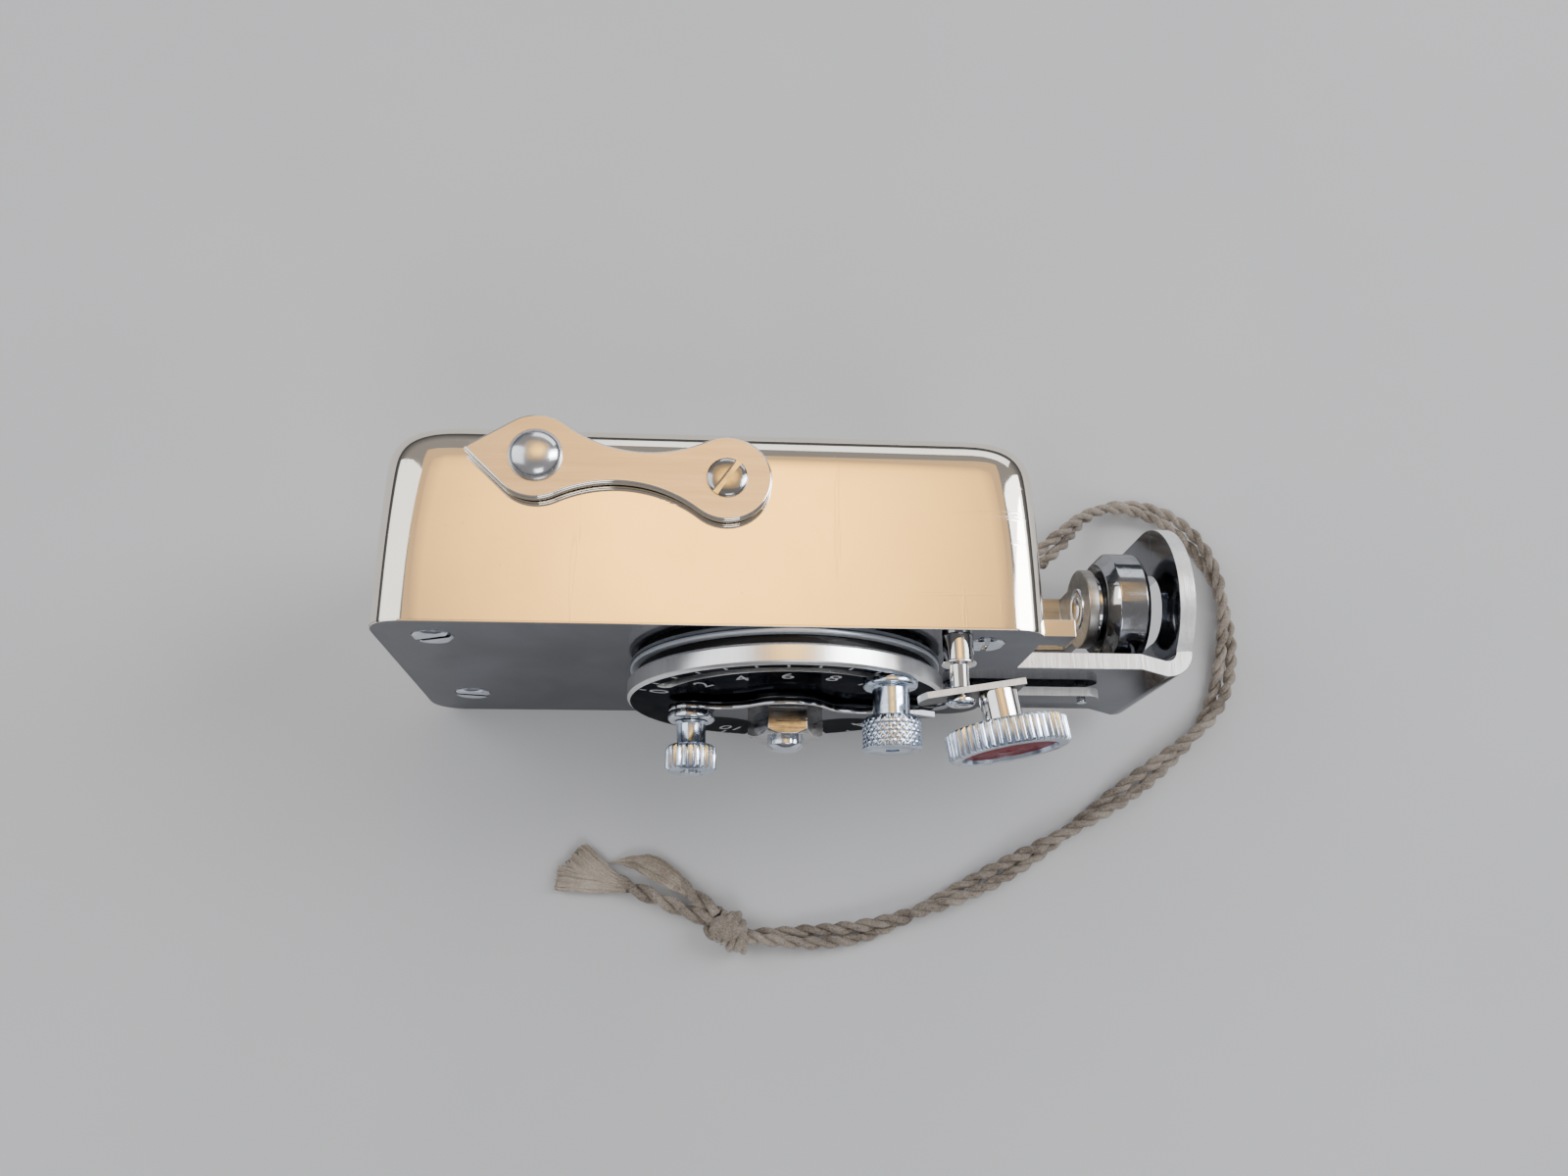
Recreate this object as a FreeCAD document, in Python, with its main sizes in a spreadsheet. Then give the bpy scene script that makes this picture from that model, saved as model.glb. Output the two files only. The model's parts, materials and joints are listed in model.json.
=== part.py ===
import FreeCAD, Part
import Sketcher
import math
import os

# Clockwork delayed-action release: a nickelled case with a time dial, which runs down and
# pushes the button of a cable release that stands in the fork at its right end.
# Millimetres. X to the right, Y to the back, Z up. The origin is the centre of the foot.

Vector = FreeCAD.Vector
doc = FreeCAD.newDocument("delayed_action_release")
sheet = doc.addObject("Spreadsheet::Sheet", "sizes")


class Size:
    """A value that also carries the spreadsheet expression it comes from."""

    def __init__(self, value, text):
        self.value = value
        self.text = text

    def __float__(self):
        return float(self.value)

    def join(self, sign, other, value, swapped=False):
        a, b = self.text, as_text(other)
        if swapped:
            a, b = b, a
        return Size(value, "(%s %s %s)" % (a, sign, b))

    def __add__(self, other):
        return self.join("+", other, self.value + float(other))

    def __radd__(self, other):
        return self.join("+", other, float(other) + self.value, True)

    def __sub__(self, other):
        return self.join("-", other, self.value - float(other))

    def __rsub__(self, other):
        return self.join("-", other, float(other) - self.value, True)

    def __mul__(self, other):
        return self.join("*", other, self.value * float(other))

    def __rmul__(self, other):
        return self.join("*", other, float(other) * self.value, True)

    def __truediv__(self, other):
        return self.join("/", other, self.value / float(other))

    def __neg__(self):
        return Size(-self.value, "(0 - %s)" % self.text)


def as_text(value):
    if isinstance(value, Size):
        return value.text
    return repr(float(value))


rows = []


def size(alias, number):
    """Write one driving dimension in the sheet and return it."""
    rows.append(alias)
    row = len(rows)
    sheet.set("A%d" % row, alias)
    sheet.set("B%d" % row, repr(number))
    sheet.setAlias("B%d" % row, alias)
    return Size(number, "sizes." + alias)


# Case and front plate
case_width = size("case_width", 52.0)
case_height = size("case_height", 29.4)
case_depth = size("case_depth", 16.9)
plate_thick = size("plate_thick", 1.4)
shell_wall = size("shell_wall", 0.8)
corner_round = size("corner_round", 2.9)
back_round = size("back_round", 3.2)
tab_length = size("tab_length", 2.2)
tab_height = size("tab_height", 2.6)
tab_top_drop = size("tab_top_drop", 1.6)

# Centre of the dial and of the winding arbor
dial_inset = size("dial_inset", 19.7)
dial_rise = size("dial_rise", 1.5)
dial_x = case_width / 2 - dial_inset
dial_z = case_height / 2 + dial_rise

# Leg and fork, bent from the front plate
leg_top = size("leg_top", 18.2)
fork_foot = size("fork_foot", 3.0)
joggle_start = size("joggle_start", 36.9)
joggle_length = size("joggle_length", 2.2)
joggle_step = size("joggle_step", 0.6)
fork_outer_x = size("fork_outer_x", 41.5)
bend_inner = size("bend_inner", 0.9)
fork_round = size("fork_round", 7.4)
slot_width = size("slot_width", 6.3)
prong_round = size("prong_round", 1.4)

# Line of the pusher
push_depth = size("push_depth", 7.0)
push_height = size("push_height", 12.9)
bar_width = size("bar_width", 5.2)
bar_thick = size("bar_thick", 1.0)
bar_drop = size("bar_drop", 8.2)
bar_inner_reach = size("bar_inner_reach", 14.3)
bar_top = dial_z - bar_drop
bar_inner_end = dial_x - bar_inner_reach
tongue_left = size("tongue_left", 33.4)
tongue_round = size("tongue_round", 3.6)
bar_play = size("bar_play", 0.08)
bar_slot_play = size("bar_slot_play", 0.35)
cup_neck_radius = size("cup_neck_radius", 2.9)
cup_neck_length = size("cup_neck_length", 0.5)
cup_radius = size("cup_radius", 5.1)
cup_length = size("cup_length", 3.7)
cup_bore = size("cup_bore", 3.6)
cup_bore_depth = size("cup_bore_depth", 2.3)
cup_round = size("cup_round", 0.9)
cup_edge = size("cup_edge", 0.4)
rivet_shank = size("rivet_shank", 1.1)
rivet_head = size("rivet_head", 1.9)
rivet_rise = size("rivet_rise", 0.15)
rivet_end = size("rivet_end", 0.5)
guide_length = size("guide_length", 3.2)
guide_left_reach = size("guide_left_reach", 12.7)
guide_right_reach = size("guide_right_reach", 8.7)
guide_left_x = dial_x - guide_left_reach
guide_right_x = dial_x + guide_right_reach
guide_wall = size("guide_wall", 1.4)

# Dial and winding hand
flange_thick = size("flange_thick", 0.35)
drum_thick = size("drum_thick", 0.8)
dial_radius = size("dial_radius", 13.3)
flange_inset = size("flange_inset", 0.2)
drum_inset = size("drum_inset", 0.8)
flange_radius = dial_radius - flange_inset
drum_radius = dial_radius - drum_inset
dial_thick = size("dial_thick", 1.75)
dial_bevel = size("dial_bevel", 0.25)
arbor_radius = size("arbor_radius", 2.0)
arbor_thread = size("arbor_thread", 1.5)
arbor_reach = size("arbor_reach", 6.9)
arbor_edge = size("arbor_edge", 0.35)
pinion_play = size("pinion_play", 0.2)
hand_gap = size("hand_gap", 0.3)
hand_lean = size("hand_lean", 3.0)
hand_thick = size("hand_thick", 0.6)
hand_hub = size("hand_hub", 4.1)
hand_left_inset = size("hand_left_inset", 5.4)
hand_left_reach = dial_radius - hand_left_inset
hand_left_round = size("hand_left_round", 1.9)
hand_neck = size("hand_neck", 1.0)
hand_left_waist = size("hand_left_waist", 1.55)
hand_right_inset = size("hand_right_inset", 4.4)
hand_right_reach = dial_radius - hand_right_inset
hand_right_round = size("hand_right_round", 1.75)
hand_tip_inset = size("hand_tip_inset", 0.3)
hand_tip_reach = dial_radius - hand_tip_inset
nut_flats = size("nut_flats", 5.5)
nut_thick = size("nut_thick", 2.15)
nut_edge = size("nut_edge", 0.4)
nut_collar = size("nut_collar", 2.6)
nut_collar_thick = size("nut_collar_thick", 0.4)
peg_collar = size("peg_collar", 1.95)
peg_collar_thick = size("peg_collar_thick", 0.85)
peg_pin = size("peg_pin", 0.8)
peg_neck = size("peg_neck", 1.2)
peg_neck_length = size("peg_neck_length", 1.95)
peg_head = size("peg_head", 2.1)
peg_head_length = size("peg_head_length", 2.2)
peg_knurl = size("peg_knurl", 0.22)
peg_shoulder = size("peg_shoulder", 0.3)

# Stop that slides in a curved slot of the dial
stop_inset = size("stop_inset", 1.7)
stop_radius_at = dial_radius - stop_inset
stop_angle = size("stop_angle", 49.0)
stop_travel = size("stop_travel", 100.0)
stop_spare = size("stop_spare", 1.0)
stop_collar = size("stop_collar", 2.15)
stop_collar_thick = size("stop_collar_thick", 0.6)
stop_stem = size("stop_stem", 1.45)
stop_stem_length = size("stop_stem_length", 2.3)
stop_head = size("stop_head", 2.3)
stop_head_length = size("stop_head_length", 2.6)
stop_knurl = size("stop_knurl", 0.16)
stop_shoulder = size("stop_shoulder", 0.45)
stop_bolt_radius = size("stop_bolt_radius", 0.5)
stop_bolt_head = size("stop_bolt_head", 0.75)
stop_groove = size("stop_groove", 0.9)
stop_play = size("stop_play", 0.1)

# Start lever
stud_across = size("stud_across", 12.6)
stud_drop = size("stud_drop", 2.0)
stud_x = dial_x + stud_across
stud_z = case_height - stud_drop
stud_radius = size("stud_radius", 1.2)
stud_length = size("stud_length", 2.3)
stud_rim = size("stud_rim", 0.15)
stud_neck = size("stud_neck", 0.75)
stud_pin = size("stud_pin", 0.5)
lever_thick = size("lever_thick", 0.5)
lever_tilt = size("lever_tilt", 9.0)
lever_stand = size("lever_stand", 4.3)
lever_stop_gap = size("lever_stop_gap", 1.59)
lever_right_reach = size("lever_right_reach", 4.8)
lever_half_height = size("lever_half_height", 1.3)
start_arm = size("start_arm", 2.8)
start_stem_radius = size("start_stem_radius", 1.5)
start_stem_length = size("start_stem_length", 2.7)
start_tenon = size("start_tenon", 0.9)
start_knob_radius = size("start_knob_radius", 4.65)
start_knob_length = size("start_knob_length", 2.1)
start_knurl = size("start_knurl", 0.28)
start_recess_radius = size("start_recess_radius", 3.7)
start_recess = size("start_recess", 0.5)
inlay_thick = size("inlay_thick", 0.2)
inlay_crown = size("inlay_crown", 0.1)
lever_screw_head = size("lever_screw_head", 1.1)
lever_screw_thick = size("lever_screw_thick", 0.5)
lever_play = size("lever_play", 0.12)

# Catch lever in front of the leg
catch_inset = size("catch_inset", 3.6)
catch_x = case_width / 2 - catch_inset
catch_z = size("catch_z", 11.6)
catch_gap = size("catch_gap", 0.35)
catch_thick = size("catch_thick", 0.8)
catch_height = size("catch_height", 3.0)
catch_reach = size("catch_reach", 12.6)
catch_pin = size("catch_pin", 0.45)
catch_pin_rise = size("catch_pin_rise", 0.3)
catch_shoulder = size("catch_shoulder", 1.3)

# Movement
movement_plate_at = size("movement_plate_at", 10.6)
movement_plate_thick = size("movement_plate_thick", 0.8)
movement_gap = size("movement_gap", 1.2)
movement_top_gap = size("movement_top_gap", 1.6)
movement_plate_width = case_width - (shell_wall + movement_gap) * 2
movement_plate_low = shell_wall + movement_gap
movement_plate_high = case_height - shell_wall - movement_top_gap
pillar_radius = size("pillar_radius", 1.6)
screw_inset = size("screw_inset", 4.5)
screw_drop = size("screw_drop", 4.0)
screw_x = case_width / 2 - screw_inset
screw_high_z = case_height - screw_drop
screw_left_z = size("screw_left_z", 6.8)
screw_right_z = size("screw_right_z", 3.8)
screw_radius = size("screw_radius", 0.8)
screw_head_radius = size("screw_head_radius", 1.55)
screw_sunk = size("screw_sunk", 0.35)
screw_proud = size("screw_proud", 0.2)
screw_play = size("screw_play", 0.03)
seat_play = size("seat_play", 0.05)
edge_break = size("edge_break", 0.2)
pivot_radius = size("pivot_radius", 0.5)
pivot_play = size("pivot_play", 0.05)
pivot_sink = size("pivot_sink", 0.8)
rack_module = size("rack_module", 0.3)
rack_thick = size("rack_thick", 1.2)
rack_at = size("rack_at", 5.6)
wheel_module = size("wheel_module", 0.25)
wheel_thick = size("wheel_thick", 0.8)
second_wheel_thick = size("second_wheel_thick", 0.6)
great_wheel_at = size("great_wheel_at", 8.4)
second_wheel_at = size("second_wheel_at", 9.6)
ratchet_at = size("ratchet_at", 7.3)
second_angle = size("second_angle", 160.0)
fly_angle = size("fly_angle", 193.1)
fly_radius = size("fly_radius", 3.5)
fly_length = size("fly_length", 4.5)
fly_at = size("fly_at", 3.0)
fly_blade = size("fly_blade", 0.4)
fly_hub_wall = size("fly_hub_wall", 0.5)
vane_angle = size("vane_angle", 30.0)
train_arbor_radius = size("train_arbor_radius", 0.75)
click_pin_radius = size("click_pin_radius", 0.4)
click_pin_head = size("click_pin_head", 0.25)
click_eye = size("click_eye", 0.85)
click_nose = size("click_nose", 0.9)
click_play = size("click_play", 0.12)
click_across = size("click_across", 3.5)
click_drop = size("click_drop", 4.95)
ratchet_tip = size("ratchet_tip", 3.3)
ratchet_root = size("ratchet_root", 2.8)
end_play = size("end_play", 0.15)
cover_x = size("cover_x", -12.0)
cover_z = size("cover_z", 10.0)
spring_at = size("spring_at", 1.8)
spring_width = size("spring_width", 3.0)
spring_strip = size("spring_strip", 0.25)
spring_pitch = size("spring_pitch", 0.75)
spring_inner = size("spring_inner", 2.5)
spring_post = size("spring_post", 0.6)

# Selector lever on the top
selector_x = size("selector_x", 0.85)
selector_from_back = size("selector_from_back", 5.3)
selector_depth = case_depth - selector_from_back
selector_span = size("selector_span", 14.8)
selector_angle = size("selector_angle", 174.2)
selector_lobe = size("selector_lobe", 3.5)
selector_waist = size("selector_waist", 1.35)
selector_tip = size("selector_tip", 5.6)
selector_thick = size("selector_thick", 0.8)
selector_gap = size("selector_gap", 0.25)
selector_shaft = size("selector_shaft", 1.2)
selector_pin = size("selector_pin", 0.72)
selector_head = size("selector_head", 1.6)
selector_head_rise = size("selector_head_rise", 0.5)
selector_reach = size("selector_reach", 1.95)
selector_slot_angle = size("selector_slot_angle", 55.0)
cam_reach = size("cam_reach", 3.2)
cam_round = size("cam_round", 1.9)
cam_thick = size("cam_thick", 0.5)
cam_gap = size("cam_gap", 0.55)
dome_radius = size("dome_radius", 2.1)
dome_rise = size("dome_rise", 1.2)

# Cord: a doubled string with a knot and two loose ends
cord_diameter = size("cord_diameter", 2.2)
string_diameter = size("string_diameter", 1.0)
ring_wire = size("ring_wire", 0.45)
ring_radius = size("ring_radius", 1.7)
ring_stand = size("ring_stand", 2.3)
ring_from_back = size("ring_from_back", 4.3)
ring_depth = case_depth - ring_from_back
ring_height = size("ring_height", 4.8)
eyelet_base = size("eyelet_base", 0.3)
eyelet_clinch = size("eyelet_clinch", 0.45)
bight_heading = size("bight_heading", 40.0)
bight_reach = size("bight_reach", 3.2)
string_play = size("string_play", 0.03)
knot_pitch = size("knot_pitch", 1.25)
knot_strand = size("knot_strand", 1.2)
knot_radius = size("knot_radius", 1.15)
knot_core_spare = size("knot_core_spare", 0.3)
knot_core_round = size("knot_core_round", 0.5)
brush_radius = size("brush_radius", 1.1)
brush_length = size("brush_length", 4.4)
brush_seat = size("brush_seat", 0.2)

doc.recompute()

front_y = -case_depth / 2
push_y = front_y + push_depth
dial_front = flange_thick + drum_thick + dial_thick
hand_rear = dial_front + hand_gap
hand_front = hand_rear + hand_thick

GREAT_TEETH = 60
SECOND_TEETH = 48
SMALL_TEETH = 12
RACK_PINION_TEETH = 17
RACK_FIRST = -2
RACK_LAST = 7
RATCHET_TEETH = 24
RATCHET_UNDERCUT = 0.12
PRESSURE = math.radians(20)
ADDENDUM = 0.9
DEDENDUM = 1.2
TOOTH_PLAY = 0.05
WINDOW_REACH = 0.31
WINDOW_RADIUS = 0.08
PEG_TEETH = 24
STOP_TEETH = 26
KNOB_TEETH = 48
SPRING_HALF_TURNS = 12
CAM_SPREAD = 60
GROOVE_HALF = 0.5
CREST_HALF = 0.18
PIVOT_SHARE = 0.8
SLOT_SHARE = 0.3

TO_FRONT = FreeCAD.Rotation(Vector(1, 0, 0), 90)
TO_RIGHT = FreeCAD.Rotation(Vector(0, 1, 0), 90)
UPRIGHT = FreeCAD.Rotation()

subparts = []


def keep(obj, label):
    """Mark an object as a finished sub-part."""
    obj.Label = label
    subparts.append(obj)
    return obj


def bind(obj, prop, value):
    """Set a property, and tie it to the sheet when the value comes from there."""
    setattr(obj, prop, float(value))
    if isinstance(value, Size):
        obj.setExpression(prop, value.text)


def place(obj, x, y, z, rotation=UPRIGHT):
    obj.Placement = FreeCAD.Placement(Vector(float(x), float(y), float(z)), rotation)
    for axis, value in (("x", x), ("y", y), ("z", z)):
        if isinstance(value, Size):
            obj.setExpression("Placement.Base." + axis, value.text)
    return obj


def origin_plane(body, role):
    return [item for item in body.Origin.OriginFeatures if item.Role == role][0]


def new_sketch(body, name, role):
    sketch = body.newObject("Sketcher::SketchObject", name)
    sketch.AttachmentSupport = [(origin_plane(body, role), "")]
    sketch.MapMode = "FlatFace"
    return sketch


def pin_point(sketch, geometry, point, across, up):
    """Hold one sketch point at its distances from the sketch's origin."""
    for kind, value, axis in (("DistanceX", across, -2), ("DistanceY", up, -1)):
        if not isinstance(value, Size) and abs(float(value)) < 1e-9:
            sketch.addConstraint(Sketcher.Constraint("PointOnObject", geometry, point, axis))
            continue
        index = sketch.addConstraint(Sketcher.Constraint(kind, geometry, point, float(value)))
        if isinstance(value, Size):
            sketch.setExpression("Constraints[%d]" % index, value.text)


def add_polygon(sketch, points):
    """Closed outline of straight lines, each corner tied to its own sizes."""
    first = sketch.GeometryCount
    count = len(points)
    flat = [Vector(float(across), float(up), 0) for across, up in points]
    for k in range(count):
        sketch.addGeometry(Part.LineSegment(flat[k], flat[(k + 1) % count]), False)
    for k in range(count):
        sketch.addConstraint(Sketcher.Constraint("Coincident", first + k, 2, first + (k + 1) % count, 1))
    for k, (across, up) in enumerate(points):
        pin_point(sketch, first + k, 1, across, up)


def add_circle(sketch, across, up, radius):
    centre = Vector(float(across), float(up), 0)
    index = sketch.addGeometry(Part.Circle(centre, Vector(0, 0, 1), float(radius)), False)
    held = sketch.addConstraint(Sketcher.Constraint("Radius", index, float(radius)))
    if isinstance(radius, Size):
        sketch.setExpression("Constraints[%d]" % held, radius.text)
    pin_point(sketch, index, 3, across, up)


def add_edges(sketch, edges):
    """Outline with arcs, worked out from the sizes and held as drawn."""
    for edge in edges:
        index = sketch.addGeometry(edge, False)
        sketch.addConstraint(Sketcher.Constraint("Block", index))


def new_body(name):
    return doc.addObject("PartDesign::Body", name)


def pad(body, sketch, length, name):
    feature = body.newObject("PartDesign::Pad", name)
    feature.Profile = sketch
    bind(feature, "Length", length)
    return feature


def turned_body(name, profile):
    """A turned piece about its own Z axis. The profile is (radius, height) corners."""
    body = new_body(name)
    sketch = new_sketch(body, name + "_profile", "XZ_Plane")
    add_polygon(sketch, profile)
    feature = body.newObject("PartDesign::Revolution", name + "_turned")
    feature.Profile = sketch
    feature.ReferenceAxis = (sketch, ["V_Axis"])
    feature.Angle = 360
    return body


def plate_body(name, thick, edges=None, circles=(), polygon=None):
    """A flat piece: its outline in the XY plane, padded upwards."""
    body = new_body(name)
    sketch = new_sketch(body, name + "_outline", "XY_Plane")
    if edges:
        add_edges(sketch, edges)
    if polygon:
        add_polygon(sketch, polygon)
    for circle in circles:
        add_circle(sketch, *circle)
    pad(body, sketch, thick, name + "_pad")
    return body


def cylinder(name, radius, height, x, y, z, rotation=UPRIGHT):
    obj = doc.addObject("Part::Cylinder", name)
    bind(obj, "Radius", radius)
    bind(obj, "Height", height)
    return place(obj, x, y, z, rotation)


def box(name, length, width, height, x, y, z, rotation=UPRIGHT):
    obj = doc.addObject("Part::Box", name)
    bind(obj, "Length", length)
    bind(obj, "Width", width)
    bind(obj, "Height", height)
    return place(obj, x, y, z, rotation)


def fuse(name, shapes):
    obj = doc.addObject("Part::MultiFuse", name)
    obj.Shapes = shapes
    return obj


def group(name, shapes):
    """Identical fasteners side by side in one node."""
    obj = doc.addObject("Part::Compound", name)
    obj.Links = shapes
    return obj


def cut(name, base, tools):
    tool = tools[0] if len(tools) == 1 else fuse(name + "_tools", tools)
    obj = doc.addObject("Part::Cut", name)
    obj.Base = base
    obj.Tool = tool
    return obj


def common(name, first, second):
    obj = doc.addObject("Part::MultiCommon", name)
    obj.Shapes = [first, second]
    return obj


def feature(name, shape):
    obj = doc.addObject("Part::Feature", name)
    obj.Shape = shape
    return obj


def edges_at(shape, test):
    return [index for index, edge in enumerate(shape.Edges, 1) if test(edge)]


def point(across, up):
    return Vector(float(across), float(up), 0)


def line(a, b):
    return Part.LineSegment(a, b)


def arc_about(centre, radius, start, end):
    """Arc from one angle to another in degrees, counter-clockwise."""
    circle = Part.Circle(centre, Vector(0, 0, 1), radius)
    return Part.ArcOfCircle(circle, math.radians(start), math.radians(end))


def on_circle(centre, radius, angle):
    turn = math.radians(angle)
    return Vector(centre.x + radius * math.cos(turn), centre.y + radius * math.sin(turn), 0)


def rounded_rectangle(left, right, low, high, radius):
    """Four lines and four corner arcs."""
    left, right, low, high, radius = [float(value) for value in (left, right, low, high, radius)]
    return [
        line(Vector(left + radius, low, 0), Vector(right - radius, low, 0)),
        arc_about(Vector(right - radius, low + radius, 0), radius, 270, 360),
        line(Vector(right, low + radius, 0), Vector(right, high - radius, 0)),
        arc_about(Vector(right - radius, high - radius, 0), radius, 0, 90),
        line(Vector(right - radius, high, 0), Vector(left + radius, high, 0)),
        arc_about(Vector(left + radius, high - radius, 0), radius, 90, 180),
        line(Vector(left, high - radius, 0), Vector(left, low + radius, 0)),
        arc_about(Vector(left + radius, low + radius, 0), radius, 180, 270),
    ]


def fillet_back(name, base, radius, depth):
    """Round the edges that lie in the plane at this local height."""
    obj = doc.addObject("Part::Fillet", name)
    obj.Base = base
    chosen = edges_at(base.Shape, lambda edge: all(abs(v.Z - depth) < 1e-6 for v in edge.Vertexes))
    obj.Edges = [(index, float(radius), float(radius)) for index in chosen]
    return obj


def case_shell():
    """Drawn cover, open at the front, with soft corners at the back."""
    depth = case_depth - plate_thick
    outer = plate_body(
        "shell_outer", depth,
        rounded_rectangle(-case_width / 2, case_width / 2, 0, case_height, corner_round))
    inner = plate_body(
        "shell_inner", depth - shell_wall,
        rounded_rectangle(
            shell_wall - case_width / 2, case_width / 2 - shell_wall,
            shell_wall, case_height - shell_wall, corner_round - shell_wall))
    doc.recompute()
    outer_round = fillet_back("shell_outer_round", outer, back_round, 0.0)
    inner_round = fillet_back("shell_inner_round", inner, back_round - shell_wall, 0.0)
    # Both blanks point to the front, so their local zero is the back of the case.
    place(outer_round, 0, case_depth / 2, 0, TO_FRONT)
    place(inner_round, 0, case_depth / 2 - shell_wall, 0, TO_FRONT)
    slot = box(
        "bar_slot", shell_wall * 4, bar_width + bar_slot_play * 2, bar_thick + bar_slot_play * 2,
        case_width / 2 - shell_wall * 2, push_y - bar_width / 2 - bar_slot_play,
        bar_top - bar_thick - bar_slot_play)
    shaft_hole = cylinder(
        "shaft_hole", selector_shaft + pivot_play, shell_wall * 4,
        selector_x, front_y + selector_depth, case_height - shell_wall * 2)
    cover_hole = cylinder(
        "cover_hole", screw_radius + screw_play * 2, shell_wall * 4,
        cover_x, case_depth / 2 + shell_wall, cover_z, TO_FRONT)
    ring_hole = cylinder(
        "ring_hole", ring_wire + screw_play, shell_wall * 4,
        case_width / 2 - shell_wall * 2, front_y + ring_depth, ring_height, TO_RIGHT)
    hollow = cut("shell_hollow", outer_round, [inner_round])
    keep(cut("shell", hollow, [slot, shaft_hole, cover_hole, ring_hole]), "case_shell")


def fork_outline():
    """The fork seen from the right end: across is the depth, up is the height."""
    centre = point(push_y, push_height)
    radius = float(fork_round)
    half = float(slot_width) / 2
    foot = float(fork_foot)
    small = float(prong_round)
    front = float(front_y - joggle_step + bend_inner + plate_thick)
    rear = centre.x + radius
    top = centre.y + math.sqrt(radius ** 2 - (front - centre.x) ** 2)
    start = math.degrees(math.atan2(top - centre.y, front - centre.x))
    return [
        line(Vector(front, foot, 0), Vector(centre.x - half - small, foot, 0)),
        arc_about(Vector(centre.x - half - small, foot + small, 0), small, 270, 360),
        line(Vector(centre.x - half, foot + small, 0), Vector(centre.x - half, centre.y, 0)),
        arc_about(centre, half, 0, 180),
        line(Vector(centre.x + half, centre.y, 0), Vector(centre.x + half, foot + small, 0)),
        arc_about(Vector(centre.x + half + small, foot + small, 0), small, 180, 270),
        line(Vector(centre.x + half + small, foot, 0), Vector(rear - small, foot, 0)),
        arc_about(Vector(rear - small, foot + small, 0), small, 270, 360),
        line(Vector(rear, foot + small, 0), Vector(rear, centre.y, 0)),
        arc_about(centre, radius, 0, start),
        line(Vector(front, top, 0), Vector(front, foot, 0)),
    ]


def leg_outline():
    """The leg seen from above: a strip with a small joggle and the bend to the fork."""
    thick = float(plate_thick)
    front = float(front_y)
    step = float(joggle_step)
    start = float(case_width) / 2
    first = float(joggle_start)
    last = first + float(joggle_length)
    inner = float(bend_inner)
    outer = inner + thick
    corner = Vector(float(fork_outer_x) - outer, front - step + outer, 0)
    return [
        line(Vector(start - 1, front, 0), Vector(first, front, 0)),
        line(Vector(first, front, 0), Vector(last, front - step, 0)),
        line(Vector(last, front - step, 0), Vector(corner.x, front - step, 0)),
        arc_about(corner, outer, 270, 360),
        line(Vector(corner.x + outer, corner.y, 0), Vector(corner.x + inner, corner.y, 0)),
        arc_about(corner, inner, 270, 360),
        line(Vector(corner.x, front - step + thick, 0), Vector(last, front - step + thick, 0)),
        line(Vector(last, front - step + thick, 0), Vector(first, front + thick, 0)),
        line(Vector(first, front + thick, 0), Vector(start - 1, front + thick, 0)),
        line(Vector(start - 1, front + thick, 0), Vector(start - 1, front, 0)),
    ]


def screw_places():
    return [
        (-screw_x, screw_high_z),
        (screw_x, screw_high_z),
        (-screw_x, screw_left_z),
        (screw_x, screw_right_z),
    ]


def front_plate():
    """Base plate of the movement, with the leg and the fork bent from the same sheet."""
    rear = front_y + plate_thick
    sheet_body = plate_body(
        "plate_sheet", plate_thick,
        rounded_rectangle(-case_width / 2, case_width / 2, 0, case_height, corner_round))
    place(sheet_body, 0, rear, 0, TO_FRONT)
    tab = box(
        "plate_tab", tab_length + corner_round, plate_thick, tab_height,
        case_width / 2 - corner_round, front_y, case_height - tab_top_drop - tab_height)
    leg = plate_body("plate_leg", leg_top - fork_foot, leg_outline())
    place(leg, 0, 0, fork_foot)
    # The fork's outline has the depth across and the height up, and is padded to the right.
    fork = plate_body("plate_fork", plate_thick, fork_outline())
    quarter = FreeCAD.Rotation(Vector(0, 1, 0), 90).multiply(FreeCAD.Rotation(Vector(0, 0, 1), 90))
    place(fork, fork_outer_x - plate_thick, 0, 0, quarter)
    blank = fuse("plate_blank", [sheet_body, tab, leg, fork])
    holes = [cylinder(
        "arbor_bore", arbor_radius + pivot_play, plate_thick * 3,
        dial_x, rear + plate_thick, dial_z, TO_FRONT)]
    for number, (x, z) in enumerate(screw_places()):
        holes.append(cylinder(
            "plate_screw_hole_%d" % number, screw_radius + screw_play, plate_thick * 3,
            x, rear + plate_thick, z, TO_FRONT))
        holes.append(cylinder(
            "plate_screw_sink_%d" % number, screw_head_radius + screw_play, plate_thick + screw_sunk,
            x, front_y + screw_sunk, z, TO_FRONT))
    for name, (x, z) in (("second", second_centre()), ("fly", fly_centre())):
        holes.append(cylinder(
            name + "_front_bore", pivot_radius + pivot_play, pivot_sink * 2,
            x, rear + pivot_sink, z, TO_FRONT))
    holes.append(cylinder(
        "stud_hole", stud_neck + screw_play, plate_thick * 3, stud_x, rear + plate_thick, stud_z, TO_FRONT))
    holes.append(cylinder(
        "catch_hole", screw_radius + screw_play, plate_thick * 3, catch_x, rear + plate_thick, catch_z,
        TO_FRONT))
    keep(cut("plate", blank, holes), "front_plate")


def gear_distance(teeth_a, teeth_b):
    return wheel_module * (teeth_a + teeth_b) / 2


def second_centre():
    reach = gear_distance(GREAT_TEETH, SMALL_TEETH)
    turn = math.radians(float(second_angle))
    return dial_x + reach * math.cos(turn), dial_z + reach * math.sin(turn)


def fly_centre():
    reach = gear_distance(SECOND_TEETH, SMALL_TEETH)
    turn = math.radians(float(fly_angle))
    x, z = second_centre()
    return x + reach * math.cos(turn), z + reach * math.sin(turn)


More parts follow.
